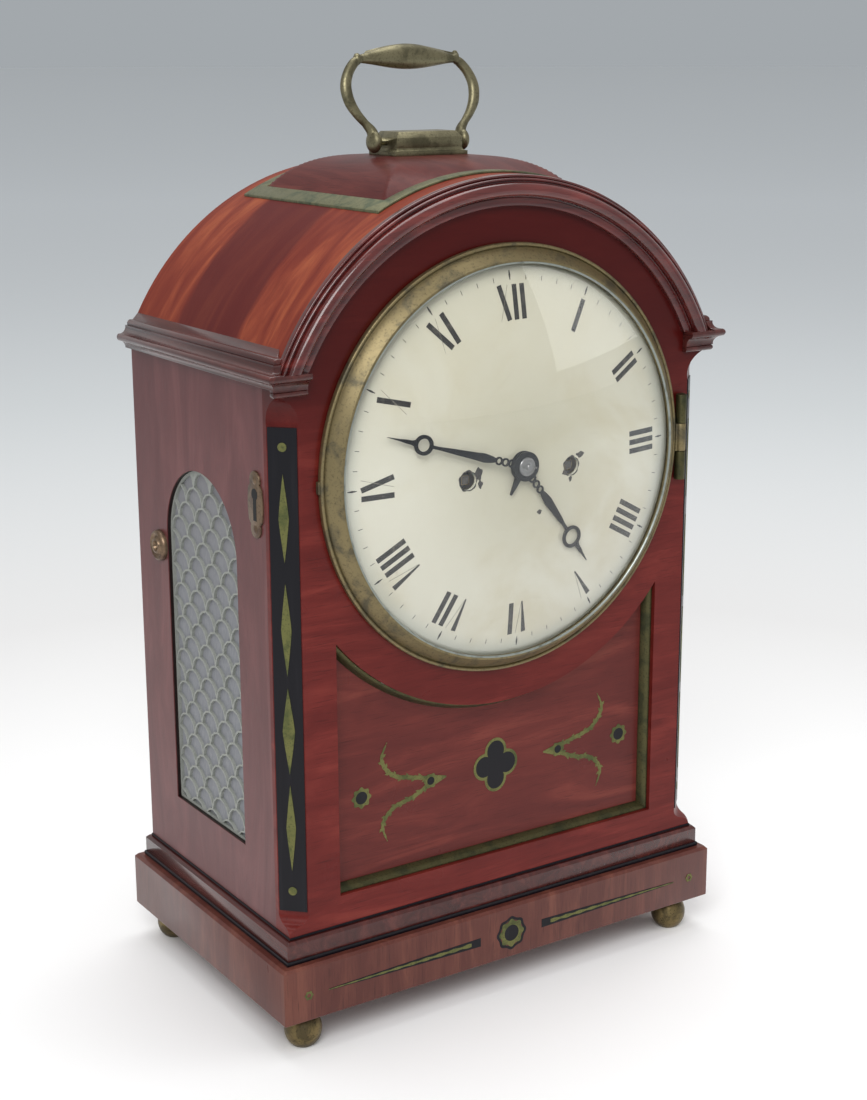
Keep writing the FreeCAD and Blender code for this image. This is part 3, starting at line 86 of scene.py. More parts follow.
# ---------------------------------------------------------------- colours and node graphs
def paint(red: int, green: int, blue: int) -> Colour:
    """Return an 8-bit display colour as scene-linear values.

    Args:
        red: Red, 0 to 255.
        green: Green, 0 to 255.
        blue: Blue, 0 to 255.

    Returns:
        The three linear values.
    """
    def linear(value: int) -> float:
        """Return one channel in linear light."""
        part = value / 255.0
        return part / 12.92 if part <= 0.04045 else ((part + 0.055) / 1.055) ** 2.4
    return (linear(red), linear(green), linear(blue))


class Graph:
    """A material's node tree with one Principled shader at its end."""

    def __init__(self, name: str) -> None:
        """Start an empty tree for the named material."""
        self.material = bpy.data.materials.new(name)
        self.material.use_nodes = True
        self.tree = self.material.node_tree
        self.tree.nodes.clear()
        output = self.tree.nodes.new("ShaderNodeOutputMaterial")
        self.shader = self.tree.nodes.new("ShaderNodeBsdfPrincipled")
        self.tree.links.new(self.shader.outputs[0], output.inputs[0])
        self.coordinates = self.tree.nodes.new("ShaderNodeTexCoord").outputs["Object"]

    def feed(self, socket: bpy.types.NodeSocket, value: object) -> None:
        """Link a socket, or set its constant.

        Args:
            socket: The socket to feed.
            value: Another socket, a colour or a number.
        """
        if isinstance(value, bpy.types.NodeSocket):
            self.tree.links.new(value, socket)
        elif isinstance(value, (tuple, list)) and socket.type == "RGBA":
            socket.default_value = (*value[:3], 1.0)
        else:
            socket.default_value = value

    def coords(self, scale: Sequence[float] = (1, 1, 1), turn: Sequence[float] = (0, 0, 0),
               move: Sequence[float] = (0, 0, 0), source: Optional[object] = None) -> object:
        """Return the object coordinates, moved, turned and stretched.

        Args:
            scale: Pattern repeats per metre along each axis.
            turn: Turns of the pattern about each axis, in radians.
            move: Shift of the pattern, in its own units.
            source: Other coordinates to stretch in place of the object's own.

        Returns:
            The vector socket.
        """
        node = self.tree.nodes.new("ShaderNodeMapping")
        self.feed(node.inputs["Vector"], source or self.coordinates)
        node.inputs["Scale"].default_value = scale
        node.inputs["Rotation"].default_value = turn
        node.inputs["Location"].default_value = move
        return node.outputs[0]

    def noise(self, vector: object, scale: float = 1.0, detail: float = 4.0,
              rough: float = 0.55, distortion: float = 0.0) -> object:
        """Return a noise value between 0 and 1.

        Args:
            vector: Where the noise is read.
            scale: Repeats per unit of the vector.
            detail: Octaves of finer noise.
            rough: Weight of the finer octaves.
            distortion: How far the pattern is stirred.

        Returns:
            The value socket.
        """
        node = self.tree.nodes.new("ShaderNodeTexNoise")
        self.feed(node.inputs["Vector"], vector)
        node.inputs["Scale"].default_value = scale
        node.inputs["Detail"].default_value = detail
        node.inputs["Roughness"].default_value = rough
        node.inputs["Distortion"].default_value = distortion
        return node.outputs[0]

    def cells(self, vector: object, scale: float) -> object:
        """Return the distance to a cell's edge, for crackle.

        Args:
            vector: Where the cells are read.
            scale: Cells per unit of the vector.

        Returns:
            The value socket.
        """
        node = self.tree.nodes.new("ShaderNodeTexVoronoi")
        node.feature = "DISTANCE_TO_EDGE"
        self.feed(node.inputs["Vector"], vector)
        node.inputs["Scale"].default_value = scale
        return node.outputs[0]

    def ramp(self, value: object, low: float, high: float) -> object:
        """Return a value stretched so that low becomes 0 and high becomes 1.

        Args:
            value: The value to stretch.
            low: Its value at 0.
            high: Its value at 1.

        Returns:
            The value socket.
        """
        node = self.tree.nodes.new("ShaderNodeMapRange")
        node.interpolation_type = "SMOOTHSTEP"
        self.feed(node.inputs[0], value)
        node.inputs[1].default_value = low
        node.inputs[2].default_value = high
        return node.outputs[0]

    def stops(self, value: object, row: Sequence[tuple[float, Colour]]) -> object:
        """Return a colour read from a row of (place, colour) stops.

        Args:
            value: The value, 0 to 1, to read the row at.
            row: The stops, in rising order of place.

        Returns:
            The colour socket.
        """
        node = self.tree.nodes.new("ShaderNodeValToRGB")
        self.feed(node.inputs[0], value)
        elements = node.color_ramp.elements
        elements.remove(elements[1])
        elements[0].position, elements[0].color = row[0][0], (*row[0][1], 1.0)
        for place, colour in row[1:]:
            elements.new(place).color = (*colour, 1.0)
        return node.outputs[0]

    def blend(self, share: object, first: object, second: object) -> object:
        """Return two colours mixed by a share.

        Args:
            share: Share of the second colour.
            first: The first colour.
            second: The second colour.

        Returns:
            The colour socket.
        """
        node = self.tree.nodes.new("ShaderNodeMix")
        node.data_type = "RGBA"
        self.feed(node.inputs[0], share)
        self.feed(node.inputs[6], first)
        self.feed(node.inputs[7], second)
        return node.outputs[2]

    def sum(self, kind: str, first: object, second: object = 0.0) -> object:
        """Return one arithmetic step on two values.

        Args:
            kind: The step's name among the shader's operations.
            first: The first value.
            second: The second value.

        Returns:
            The value socket.
        """
        node = self.tree.nodes.new("ShaderNodeMath")
        node.operation = kind
        self.feed(node.inputs[0], first)
        self.feed(node.inputs[1], second)
        return node.outputs[0]

    def times(self, first: object, second: object) -> object:
        """Return the product of two values."""
        return self.sum("MULTIPLY", first, second)

    def reach(self, first: object, second: object) -> object:
        """Return the length of the two legs' hypotenuse."""
        return self.sum("SQRT", self.sum("ADD", self.times(first, first),
                                         self.times(second, second)))

    def gloss(self, value: object, spread: float, least: float) -> object:
        """Return a roughness that rises with a value.

        Args:
            value: The value, 0 to 1.
            spread: How much roughness the value adds.
            least: The roughness where the value is 0.

        Returns:
            The roughness socket.
        """
        made = self.sum("MULTIPLY_ADD", value, spread)
        made.node.inputs[2].default_value = least
        return made

    def cloud(self, scale: float, detail: float, rough: float = 0.55,
              distortion: float = 0.0) -> object:
        """Return a noise that is the same along each axis."""
        return self.noise(self.coords((scale,) * 3), 1.0, detail, rough, distortion)

    def split(self, vector: object) -> Sequence[object]:
        """Return the three parts of a vector."""
        node = self.tree.nodes.new("ShaderNodeSeparateXYZ")
        self.feed(node.inputs[0], vector)
        return node.outputs

    def join(self, first: object, second: object, third: object) -> object:
        """Return a vector from three parts."""
        node = self.tree.nodes.new("ShaderNodeCombineXYZ")
        for socket, value in zip(node.inputs, (first, second, third)):
            self.feed(socket, value)
        return node.outputs[0]

    def relief(self, height: object, depth_mm: float, strength: float = 1.0) -> object:
        """Return a normal bent by a height that stands for a real depth.

        Args:
            height: The height, 0 to 1.
            depth_mm: Its depth, in millimetres.
            strength: Share of the bend.

        Returns:
            The normal socket.
        """
        node = self.tree.nodes.new("ShaderNodeBump")
        node.inputs["Distance"].default_value = depth_mm * MM
        node.inputs["Strength"].default_value = strength
        self.feed(node.inputs["Height"], height)
        return node.outputs[0]

    def dress(self, **sockets: object) -> None:
        """Feed the shader; an underscore in a keyword stands for a space."""
        for name, value in sockets.items():
            self.feed(self.shader.inputs[name.replace("_", " ")], value)


# ---------------------------------------------------------------- finishes
class Grain(Enum):
    """The axis that the grain of a board follows."""

    X = 0
    Y = 1
    Z = 2

    def stretch(self, along: float, across: float) -> tuple[float, float, float]:
        """Return pattern scales, low along the grain and high across it."""
        return tuple(along if axis == self.value else across for axis in range(3))


@dataclass(frozen=True)
class Finish:
    """A surface finish; its material is made once and shared."""

    name: str

    def lay(self, graph: Graph) -> None:
        """Build the nodes of the finish."""
        raise NotImplementedError

    def material(self) -> bpy.types.Material:
        """Return the finish's material, made at its first use."""
        title = "finish_" + self.name
        found = bpy.data.materials.get(title)
        if found:
            return found
        graph = Graph(title)
        self.lay(graph)
        return graph.material


@dataclass(frozen=True)
class Mahogany(Finish):
    """French-polished mahogany with figure, fine pores and patches of wear."""

    heart: Colour
    light: Colour
    dark: Colour
    grain: Grain = Grain.Z
    streak: float = 80.0
    figure: float = 14.0
    mottle: float = 0.5
    turn: tuple[float, float, float] = (0.0, 0.0, 0.0)
    rough: float = 0.30
    coat: float = 0.12
    shine: float = 0.26
    tooth: float = 0.5

    def wood(self, graph: Graph, source: Optional[object] = None) -> object:
        """Return the wood's colour and leave its shine on the shader.

        Args:
            graph: The tree to build in.
            source: Coordinates that the grain follows, if not the object's own.

        Returns:
            The colour socket.
        """
        body = graph.noise(graph.coords(self.grain.stretch(9.0, self.streak), self.turn,
                                        source=source), 1.0, 7.0, 0.62, 1.2)
        swirl = graph.noise(graph.coords((self.figure,) * 3, source=source), 1.0, 3.0, 0.5, 1.8)
        pores = graph.noise(graph.coords(self.grain.stretch(60.0, 1900.0), self.turn,
                                         source=source), 1.0, 2.0, 0.6)
        tone = graph.blend(graph.ramp(body, 0.34, 0.68), self.dark, self.heart)
        tone = graph.blend(graph.ramp(body, 0.52, 0.78), tone, self.light)
        shade = graph.times(graph.ramp(swirl, 0.40, 0.66), self.mottle)
        tone = graph.blend(shade, tone, self.dark)
        gloss = graph.gloss(swirl, 0.16, self.rough - 0.08)
        height = graph.sum("ADD", graph.ramp(pores, 0.28, 0.42),
                           graph.times(body, 0.35))
        graph.dress(Roughness=gloss, Coat_Weight=self.coat, Coat_Roughness=0.14,
                    Specular_IOR_Level=self.shine, Normal=graph.relief(height, 0.05, self.tooth))
        line = graph.times(graph.ramp(pores, 0.44, 0.30), 0.45)
        return graph.blend(line, tone, tuple(0.35 * part for part in self.dark))

    def lay(self, graph: Graph) -> None:
        """Build the nodes of plain figured wood."""
        graph.dress(Base_Color=self.wood(graph))


@dataclass(frozen=True)
class FrontVeneer(Mahogany):
    """Veneer of the front, with painted shade, deeper and redder, round the top of the dial under
    the hood.
    """

    # Colour of the painted shade under the hood, laid between the heights low and high.
    deep: Colour = paint(62, 6, 5)
    low: float = 285.0
    high: float = 350.0

    def lay(self, graph: Graph) -> None:
        """Build the nodes of the veneer and of the painted shade under the hood."""
        _, _, z = graph.split(graph.coordinates)
        # Painted shade: the wood turns darker and redder towards the top, under the hood.
        share = graph.times(graph.ramp(z, self.low * MM, self.high * MM), 0.85)
        graph.dress(Base_Color=graph.blend(share, self.wood(graph), self.deep))


@dataclass(frozen=True)
class SideVeneer(Mahogany):
    """Side veneer; the cut edges inside the sound openings carry painted shade, dark as the recess.
    """

    # Colour of the painted shade on the edges inside the openings.
    reveal_shade: Colour = paint(26, 14, 13)

    def lay(self, graph: Graph) -> None:
        """Build the nodes of the veneer and of the painted shade on its edges inside the openings.
        """
        x, _, _ = graph.split(graph.coordinates)
        # Painted shade: faces set in from the outer surface, inside the openings, go near black.
        inside = graph.ramp(graph.sum("ABSOLUTE", x), (HALF - 0.25) * MM, (HALF - 0.75) * MM)
        graph.dress(Base_Color=graph.blend(inside, self.wood(graph), self.reveal_shade))


@dataclass(frozen=True)
class BarrelVeneer(Mahogany):
    """Veneer bent over the barrel top, laid in broad light and dark bands."""

    band: Colour = (0.1, 0.02, 0.02)
    band_front: float = -18.0
    band_back: float = 47.0
    edge: float = 3.0

    def lay(self, graph: Graph) -> None:
        """Wrap the grain round the arch and lay the bands along it."""
        x, y, z = graph.split(graph.coordinates)
        rise = graph.sum("SUBTRACT", z, AXIS_Z * MM)
        angle = graph.sum("ARCTAN2", x, rise)
        round_arch = graph.times(angle, VAULT_RADIUS * MM)
        tone = self.wood(graph, graph.join(round_arch, y, 0.0))
        wander = graph.noise(graph.coords((16.0, 1.0, 1.0), source=graph.join(round_arch, 0, 0)),
                             1.0, 2.0)
        wander = graph.times(wander, 0.016)
        lean = graph.times(graph.sum("ABSOLUTE", angle), 0.016)
        at = graph.sum("ADD", graph.sum("SUBTRACT", y, wander), lean)
        into = graph.ramp(at, (self.band_front - self.edge) * MM,
                          (self.band_front + self.edge) * MM)
        out = graph.ramp(at, (self.band_back + self.edge) * MM, (self.band_back - self.edge) * MM)
        share = graph.times(graph.times(into, out), 0.78)
        graph.dress(Base_Color=graph.blend(share, tone, self.band))


@dataclass(frozen=True)
class Ebony(Finish):
    """Ebonised pearwood, black with a faint grain under polish."""

    black: Colour = paint(12, 11, 18)
    worn: Colour = paint(28, 26, 32)

    def lay(self, graph: Graph) -> None:
        """Build the nodes of the finish."""
        grain = graph.noise(graph.coords((300.0, 300.0, 16.0)), 1.0, 5.0)
        rub = graph.cloud(60.0, 4.0)
        tone = graph.blend(graph.ramp(grain, 0.5, 0.85), self.black, self.worn)
        gloss = graph.gloss(rub, 0.25, 0.22)
        graph.dress(Base_Color=tone, Roughness=gloss, Specular_IOR_Level=0.22, Coat_Weight=0.06,
                    Coat_Roughness=0.2, Normal=graph.relief(grain, 0.03, 0.4))


@dataclass(frozen=True)
class Brass(Finish):
    """Brass with patina in its hollows, rubbed bright in places."""

    bright: Colour
    tarnish: Colour
    grime: Colour
    cover: float = 0.5
    rough: float = 0.34
    metal: float = 0.9
    patch: float = 90.0
    speckle: float = 900.0
    brushed: Optional[Grain] = None

    def lay(self, graph: Graph) -> None:
        """Build the nodes of the finish."""
        cloud = graph.cloud(self.patch, 6.0, 0.6, 0.5)
        fine = graph.cloud(self.speckle, 3.0, 0.6)
        low = 0.62 - 0.3 * self.cover
        tone = graph.blend(graph.ramp(cloud, low, low + 0.22), self.bright, self.tarnish)
        spots = graph.times(graph.ramp(fine, 0.52, 0.70), self.cover)
        tone = graph.blend(spots, tone, self.grime)
        gloss = graph.gloss(cloud, 0.30, self.rough - 0.10)
        height = fine
        if self.brushed is not None:
            height = graph.noise(graph.coords(self.brushed.stretch(20.0, 4000.0)), 1.0, 2.0)
        graph.dress(Base_Color=tone, Metallic=self.metal, Roughness=gloss,
                    Normal=graph.relief(height, 0.02, 0.45))


@dataclass(frozen=True)
class Steel(Finish):
    """Polished or heat-blued steel with a few rubbed places."""

    tone: Colour
    rubbed: Colour
    rough: float = 0.3
    metal: float = 0.9

    def lay(self, graph: Graph) -> None:
        """Build the nodes of the finish."""
        cloud = graph.cloud(160.0, 5.0)
        fine = graph.cloud(2500.0, 2.0)
        colour = graph.blend(graph.ramp(cloud, 0.5, 0.75), self.tone, self.rubbed)
        gloss = graph.gloss(cloud, 0.2, self.rough - 0.08)
        graph.dress(Base_Color=colour, Metallic=self.metal, Roughness=gloss,
                    Normal=graph.relief(fine, 0.01, 0.3))


@dataclass(frozen=True)
class DialPaint(Finish):
    """Old cream paint on a convex iron dial: warm stains, crackle, a grey rim, a darker middle and
    painted shade over its upper part.
    """

    cream: Colour = paint(210, 205, 190)
    warm: Colour = paint(194, 184, 158)
    smudge: Colour = paint(150, 136, 112)
    rim: Colour = paint(176, 178, 168)
    # Tone laid over the middle, and as painted shade over the upper part.
    centre: Colour = paint(178, 172, 150)

    def lay(self, graph: Graph) -> None:
        """Build the nodes of the finish."""
        cloud = graph.cloud(17.0, 5.0, 0.6, 0.6)
        blot = graph.noise(graph.coords((46.0,) * 3, move=(4.1, 0.0, 2.3)), 1.0, 6.0, 0.7, 1.0)
        tone = graph.blend(graph.times(graph.ramp(cloud, 0.42, 0.72), 0.75),
                           self.cream, self.warm)
        tone = graph.blend(graph.times(graph.ramp(blot, 0.64, 0.80), 0.45),
                           tone, self.smudge)
        x, _, z = graph.split(graph.coordinates)
        rise = graph.sum("SUBTRACT", z, AXIS_Z * MM)
        radius = graph.reach(x, rise)
        edge = graph.times(graph.ramp(radius, 0.088, 0.101), 0.8)
        tone = graph.blend(edge, tone, self.rim)
        # Darker towards the middle of the dial.
        middle_darkening = graph.times(graph.ramp(radius, 0.075, 0.015), 0.62)
        tone = graph.blend(middle_darkening, tone, self.centre)
        # Painted shade: the upper part of the dial is darkened.
        upper = graph.times(graph.ramp(rise, -0.02, 0.09), 0.55)
        tone = graph.blend(upper, tone, self.centre)
        crack = graph.cells(graph.coords((110.0,) * 3), 1.0)
        hair = graph.times(graph.ramp(crack, 0.012, 0.0), 0.10)
        tone = graph.blend(hair, tone, self.smudge)
        gloss = graph.gloss(cloud, 0.25, 0.34)
        graph.dress(Base_Color=tone, Roughness=gloss, Coat_Weight=0.05, Coat_Roughness=0.35,
                    Specular_IOR_Level=0.2,
                    Normal=graph.relief(graph.sum("ADD", crack, cloud), 0.02, 0.2))


@dataclass(frozen=True)
class DialInk(Finish):
    """Black paint of the numerals, thin and greyed in places."""

    black: Colour = paint(30, 28, 28)
    thin: Colour = paint(108, 102, 92)
    wear: float = 0.6

    def lay(self, graph: Graph) -> None:
        """Build the nodes of the finish."""
        rub = graph.cloud(260.0, 5.0, 0.65)
        share = graph.times(graph.ramp(rub, 0.5, 0.72), self.wear)
        graph.dress(Base_Color=graph.blend(share, self.black, self.thin), Roughness=0.5,
                    Specular_IOR_Level=0.3, Normal=graph.relief(rub, 0.01, 0.3))


@dataclass(frozen=True)
class ClearGlass(Finish):
    """Old clear glass with faint waves and a film of dust."""

    tint: Colour = (0.965, 0.985, 0.98)
    dust: float = 0.03

    def lay(self, graph: Graph) -> None:
        """Build the nodes; the glass stays open to lamps, so it darkens nothing behind it."""
        wave = graph.cloud(30.0, 2.0)
        film = graph.cloud(90.0, 5.0)
        rays = graph.tree.nodes.new("ShaderNodeLightPath")
        clear = graph.sum("SUBTRACT", 1.0,
                          graph.times(rays.outputs["Is Shadow Ray"], 0.94))
        haze = graph.times(film, self.dust)
        graph.dress(Base_Color=self.tint, Roughness=haze, Transmission_Weight=1.0, IOR=1.46,
                    Specular_IOR_Level=0.2, Alpha=clear, Normal=graph.relief(wave, 0.05, 0.15))


@dataclass(frozen=True)
class Silk(Finish):
    """Faded silk stretched behind the frets, darker where it hangs away from the light."""

    warp: Colour = paint(126, 128, 133)
    weft: Colour = paint(110, 112, 119)
    # Tone of the painted shade over the upper part of the silk.
    pale: Colour = paint(112, 111, 115)

    def lay(self, graph: Graph) -> None:
        """Build the nodes of the weave."""
        cloud = graph.cloud(22.0, 3.0)
        thread = graph.noise(graph.coords((400.0, 2600.0, 300.0)), 1.0, 2.0)
        cross = graph.noise(graph.coords((400.0, 300.0, 2600.0)), 1.0, 2.0)
        _, _, z = graph.split(graph.coordinates)
        # Painted shade: the upper part of the silk is darkened.
        upper = graph.times(graph.ramp(z, 0.19, 0.30), 0.8)
        tone = graph.blend(graph.ramp(thread, 0.4, 0.6), self.warp, self.weft)
        tone = graph.blend(upper, tone, self.pale)
        tone = graph.blend(graph.times(graph.ramp(cloud, 0.4, 0.7), 0.35), tone, self.weft)
        graph.dress(Base_Color=tone, Roughness=0.62, Sheen_Weight=0.3,
                    Normal=graph.relief(graph.sum("ADD", thread, cross), 0.08, 0.6))


FRONT_WOOD = FrontVeneer("front_mahogany", paint(112, 38, 33), paint(122, 48, 40),
                         paint(90, 25, 22), Grain.X, streak=60.0, figure=14.0, mottle=0.4,
                         coat=0.05, shine=0.17, tooth=0.25)
PANEL_WOOD = Mahogany("panel_mahogany", paint(108, 45, 39), paint(121, 57, 48), paint(88, 34, 31),
                      Grain.X, streak=55.0, figure=12.0, mottle=0.4, turn=(0.0, 0.35, 0.0),
                      coat=0.05, shine=0.18, tooth=0.25)
BASE_WOOD = Mahogany("crossbanded_mahogany", paint(104, 58, 48), paint(118, 70, 56),
                     paint(84, 43, 37), Grain.Z, streak=70.0, figure=12.0, mottle=0.3, tooth=0.25)
BOARD_WOOD = SideVeneer("board_veneer", paint(108, 60, 60), paint(118, 70, 69), paint(90, 46, 47),
                        Grain.Z, streak=46.0, figure=6.0, mottle=0.3, rough=0.36)
SIDE_WOOD = Mahogany("side_mahogany", paint(108, 60, 60), paint(118, 70, 69), paint(90, 46, 47),
                     Grain.Z, streak=46.0, figure=6.0, mottle=0.3, rough=0.36)
MOULD_WOOD = Mahogany("moulding_mahogany", paint(84, 38, 34), paint(98, 49, 43),
                      paint(58, 24, 22), Grain.Y, streak=90.0, figure=16.0, mottle=0.3,
                      rough=0.22, coat=0.5, tooth=0.12)
HOOD_WOOD = Mahogany("hood_mahogany", paint(98, 36, 33), paint(116, 48, 42), paint(66, 22, 21),
                     Grain.X, streak=70.0, figure=13.0, mottle=0.3, rough=0.17, coat=0.9,
                     tooth=0.08)
PAD_WOOD = Mahogany("pad_mahogany", paint(94, 44, 40), paint(110, 56, 48), paint(74, 30, 29),
                    Grain.Y, streak=60.0, figure=11.0, mottle=0.3, rough=0.34, coat=0.0,
                    shine=0.12)
BARREL_WOOD = BarrelVeneer("barrel_veneer", paint(138, 66, 46), paint(152, 82, 54),
                           paint(108, 44, 35), Grain.X, streak=55.0, figure=9.0, mottle=0.3,
                           rough=0.45, coat=0.0, shine=0.06, tooth=0.2, band=paint(80, 31, 32))
OAK = Mahogany("inner_oak", paint(126, 92, 60), paint(148, 112, 76), paint(92, 64, 40),
               Grain.X, streak=110.0, figure=10.0, mottle=0.2, rough=0.6, coat=0.0)
EBONY = Ebony("ebonised_pear")
BEZEL_BRASS = Brass("bezel_brass", paint(130, 117, 84), paint(94, 88, 70), paint(58, 54, 44),
                    cover=0.5, rough=0.38, metal=0.7)
INLAY_BRASS = Brass("inlay_brass", paint(112, 112, 66), paint(84, 90, 54), paint(58, 62, 42),
                    cover=0.6, rough=0.46, metal=0.7)
SLIP_BRASS = Brass("slip_brass", paint(84, 80, 52), paint(62, 64, 44), paint(42, 42, 32),
                   cover=0.6, rough=0.4, metal=0.8)
BORDER_BRASS = Brass("border_brass", paint(112, 112, 84), paint(84, 92, 72), paint(62, 66, 52),
                     cover=0.6, rough=0.46, metal=0.7)
FOOT_BRASS = Brass("foot_brass", paint(128, 112, 76), paint(88, 78, 56), paint(54, 50, 40),
                   cover=0.75, rough=0.36)
HANDLE_BRASS = Brass("handle_brass", paint(128, 122, 96), paint(94, 90, 70),
                     paint(62, 60, 46), cover=0.6, rough=0.36)
PLATE_BRASS = Brass("keyplate_brass", paint(128, 108, 88), paint(98, 80, 68),
                    paint(64, 52, 44), cover=0.6, rough=0.34)
FRET_BRASS = Brass("fret_brass", paint(152, 155, 149), paint(134, 138, 132), paint(110, 113, 107),
                   cover=0.35, rough=0.5, metal=0.2)
MOVEMENT_BRASS = Brass("movement_brass", paint(206, 172, 104), paint(180, 146, 84),
                       paint(142, 112, 64), cover=0.25, rough=0.3, brushed=Grain.Z)
BELL_METAL = Brass("bell_metal", paint(196, 178, 134), paint(168, 146, 100), paint(120, 102, 70),
                   cover=0.3, rough=0.26, brushed=Grain.X)
POLISHED_STEEL = Steel("polished_steel", paint(142, 140, 140), paint(104, 100, 98), 0.34)
BLUED_STEEL = Steel("blued_steel", paint(20, 20, 26), paint(52, 48, 48), 0.4, 0.7)
DARK_IRON = Steel("bare_iron", paint(58, 53, 51), paint(96, 88, 82), 0.55, 0.5)
ARBOR_STEEL = Steel("winding_square", paint(92, 88, 86), paint(62, 58, 56), 0.45)
SIGHT_STEEL = Steel("sight_ring", paint(150, 156, 150), paint(104, 106, 98), 0.34, 0.7)
# Painted shade: black for the sheets behind the keyhole and the winding holes, standing for the
# shade inside the holes; it borrows the numerals' ink finish.
HOLE_SHADE = DialInk("painted_hole_shade", black=paint(7, 6, 6), thin=paint(22, 18, 16), wear=0.4)
DIAL_PAINT = DialPaint("dial_paint")
DIAL_INK = DialInk("dial_ink")
FINE_INK = DialInk("fine_ink", black=paint(112, 106, 94), thin=paint(186, 180, 164), wear=1.0)
BEZEL_GLASS = ClearGlass("bezel_glass_clear")
PANE_GLASS = ClearGlass("rear_pane_clear", dust=0.05)
FRET_SILK = Silk("fret_silk")


# ---------------------------------------------------------------- mesh steps
def chain(bm: bmesh.types.BMesh, points: Iterable[Vector], closed: bool = False) -> list:
    """Add a row of edges through points.

    Args:
        bm: The mesh to add to.
        points: Where the row goes.
        closed: Whether its end is joined to its start.

    Returns:
        The new edges.
    """
    verts = [bm.verts.new(point) for point in points]
    pairs = list(zip(verts, verts[1:]))
    if closed:
        pairs.append((verts[-1], verts[0]))
    return [bm.edges.new(pair) for pair in pairs]


def spun(bm: bmesh.types.BMesh, profile: Sequence[Point], centre: Vector, axis: Vector,
         out: Vector, steps: int = 96, closed: bool = False, angle: float = TURN) -> None:
    """Spin a profile of (radius, height along the axis) about an axis.

    Args:
        bm: The mesh to add to.
        profile: Points of the profile.
        centre: A point on the axis, where the height is 0.
        axis: The axis, of length 1.
        out: The direction of the radius at the start.
        steps: How many faces go round.
        closed: Whether the profile is a closed outline.
        angle: How far it spins.
    """
    edges = chain(bm, [centre + out * r + axis * h for r, h in profile], closed)
    verts = list({vert for edge in edges for vert in edge.verts})
    bmesh.ops.spin(bm, geom=verts + edges, cent=centre, axis=axis, angle=angle, steps=steps,
                   use_merge=abs(angle - TURN) < 1e-6, use_duplicate=False)
    bmesh.ops.remove_doubles(bm, verts=bm.verts, dist=1e-4)


def bead(middle: float, height: float, wide: float, tall: float, start: float, end: float,
         steps: int) -> list[Point]:
    """Return points over a round bead of a moulding, from one angle to another.

    Args:
        middle: Across position of its middle.
        height: Height of its middle.
        wide: Half of its width.
        tall: Its rise above the middle.
        start: First angle, in degrees.
        end: Last angle, in degrees.
        steps: Faces over the bead.

    Returns:
        The points.
    """
    angles = [math.radians(start + (end - start) * k / steps) for k in range(steps + 1)]
    return [(middle + wide * math.cos(a), height + tall * math.sin(a)) for a in angles]


def dial_spun(bm: bmesh.types.BMesh, profile: Sequence[Point], steps: int = 192,
              closed: bool = False) -> None:
    """Spin a profile about the dial's axis.

    Args:
        bm: The mesh to add to.
        profile: (radius, distance in front of the case) points.
        steps: How many faces go round.
        closed: Whether the profile is a closed outline.
    """
    spun(bm, profile, Vector((0, FRONT, AXIS_Z)), Vector((0, -1, 0)), Vector((1, 0, 0)), steps,
         closed)


def thicken(bm: bmesh.types.BMesh, faces: list, lift: Vector) -> None:
    """Give flat faces a thickness.

    Args:
        bm: The mesh that holds them.
        faces: The faces.
        lift: The thickness and its direction.
    """
    moved = bmesh.ops.extrude_face_region(bm, geom=faces)
    bmesh.ops.translate(bm, vec=lift, verts=[g for g in moved["geom"]
                                             if isinstance(g, bmesh.types.BMVert)])


def raised(bm: bmesh.types.BMesh, outline: Sequence[Point], thick: float, place: Place) -> None:
    """Add a flat shape of the given thickness.

    Args:
        bm: The mesh to add to.
        outline: Its outline, as (across, up) points.
        thick: Its thickness.
        place: Where a point (across, up, out) goes.
    """
    face = bm.faces.new([bm.verts.new(place(u, v, 0.0)) for u, v in outline])
    thicken(bm, [face], place(0, 0, thick) - place(0, 0, 0))


def ring_shape(bm: bmesh.types.BMesh, middle: Point, outer: float, inner: float, thick: float,
               place: Place, steps: int = 32, lobes: int = 0, lobe: float = 0.0) -> None:
    """Add a flat ring, whose outer edge may be scalloped.

    Args:
        bm: The mesh to add to.
        middle: Its centre, as (across, up).
        outer: Its outer radius.
        inner: Its inner radius.
        thick: Its thickness.
        place: Where a point (across, up, out) goes.
        steps: Points round it.
        lobes: Scallops round its outer edge.
        lobe: Rise of each scallop.
    """
    def loop(radius: float, wave: float) -> list:
        """Return the edges of one closed loop."""
        points = []
        for step in range(steps):
            angle = TURN * step / steps
            reach = radius + wave * math.cos(lobes * angle)
            points.append(place(middle[0] + reach * math.cos(angle),
                                middle[1] + reach * math.sin(angle), 0.0))
        return chain(bm, points, True)
    made = bmesh.ops.bridge_loops(bm, edges=loop(outer, lobe) + loop(inner, 0.0))
    thicken(bm, made["faces"], place(0, 0, thick) - place(0, 0, 0))


def strip(bm: bmesh.types.BMesh, stations: Sequence[tuple[float, float, float]], thick: float,
          place: Place) -> None:
    """Add a flat strip of changing width.

    Args:
        bm: The mesh to add to.
        stations: (across, up, half width) along its middle.
        thick: Its thickness.
        place: Where a point (across, up, out) goes.
    """
    middle = [Vector((u, v)) for u, v, _ in stations]
    sides = []
    for index, (u, v, half) in enumerate(stations):
        before, after = middle[max(index - 1, 0)], middle[min(index + 1, len(middle) - 1)]
        run = (after - before).normalized()
        sides.append((place(u - run.y * half, v + run.x * half, 0.0),
                      place(u + run.y * half, v - run.x * half, 0.0)))
    edge = chain(bm, sides[0])[0]
    faces = []
    for left, right in sides[1:]:
        grown = bmesh.ops.extrude_edge_only(bm, edges=[edge])["geom"]
        verts = [g for g in grown if isinstance(g, bmesh.types.BMVert)]
        start = edge.verts[0]
        first = next(v for v in verts if any(e.other_vert(v) == start for e in v.link_edges))
        second = next(v for v in verts if v is not first)
        first.co, second.co = left, right
        faces += [g for g in grown if isinstance(g, bmesh.types.BMFace)]
        edge = bm.edges.get((first, second))
    thicken(bm, faces, place(0, 0, thick) - place(0, 0, 0))


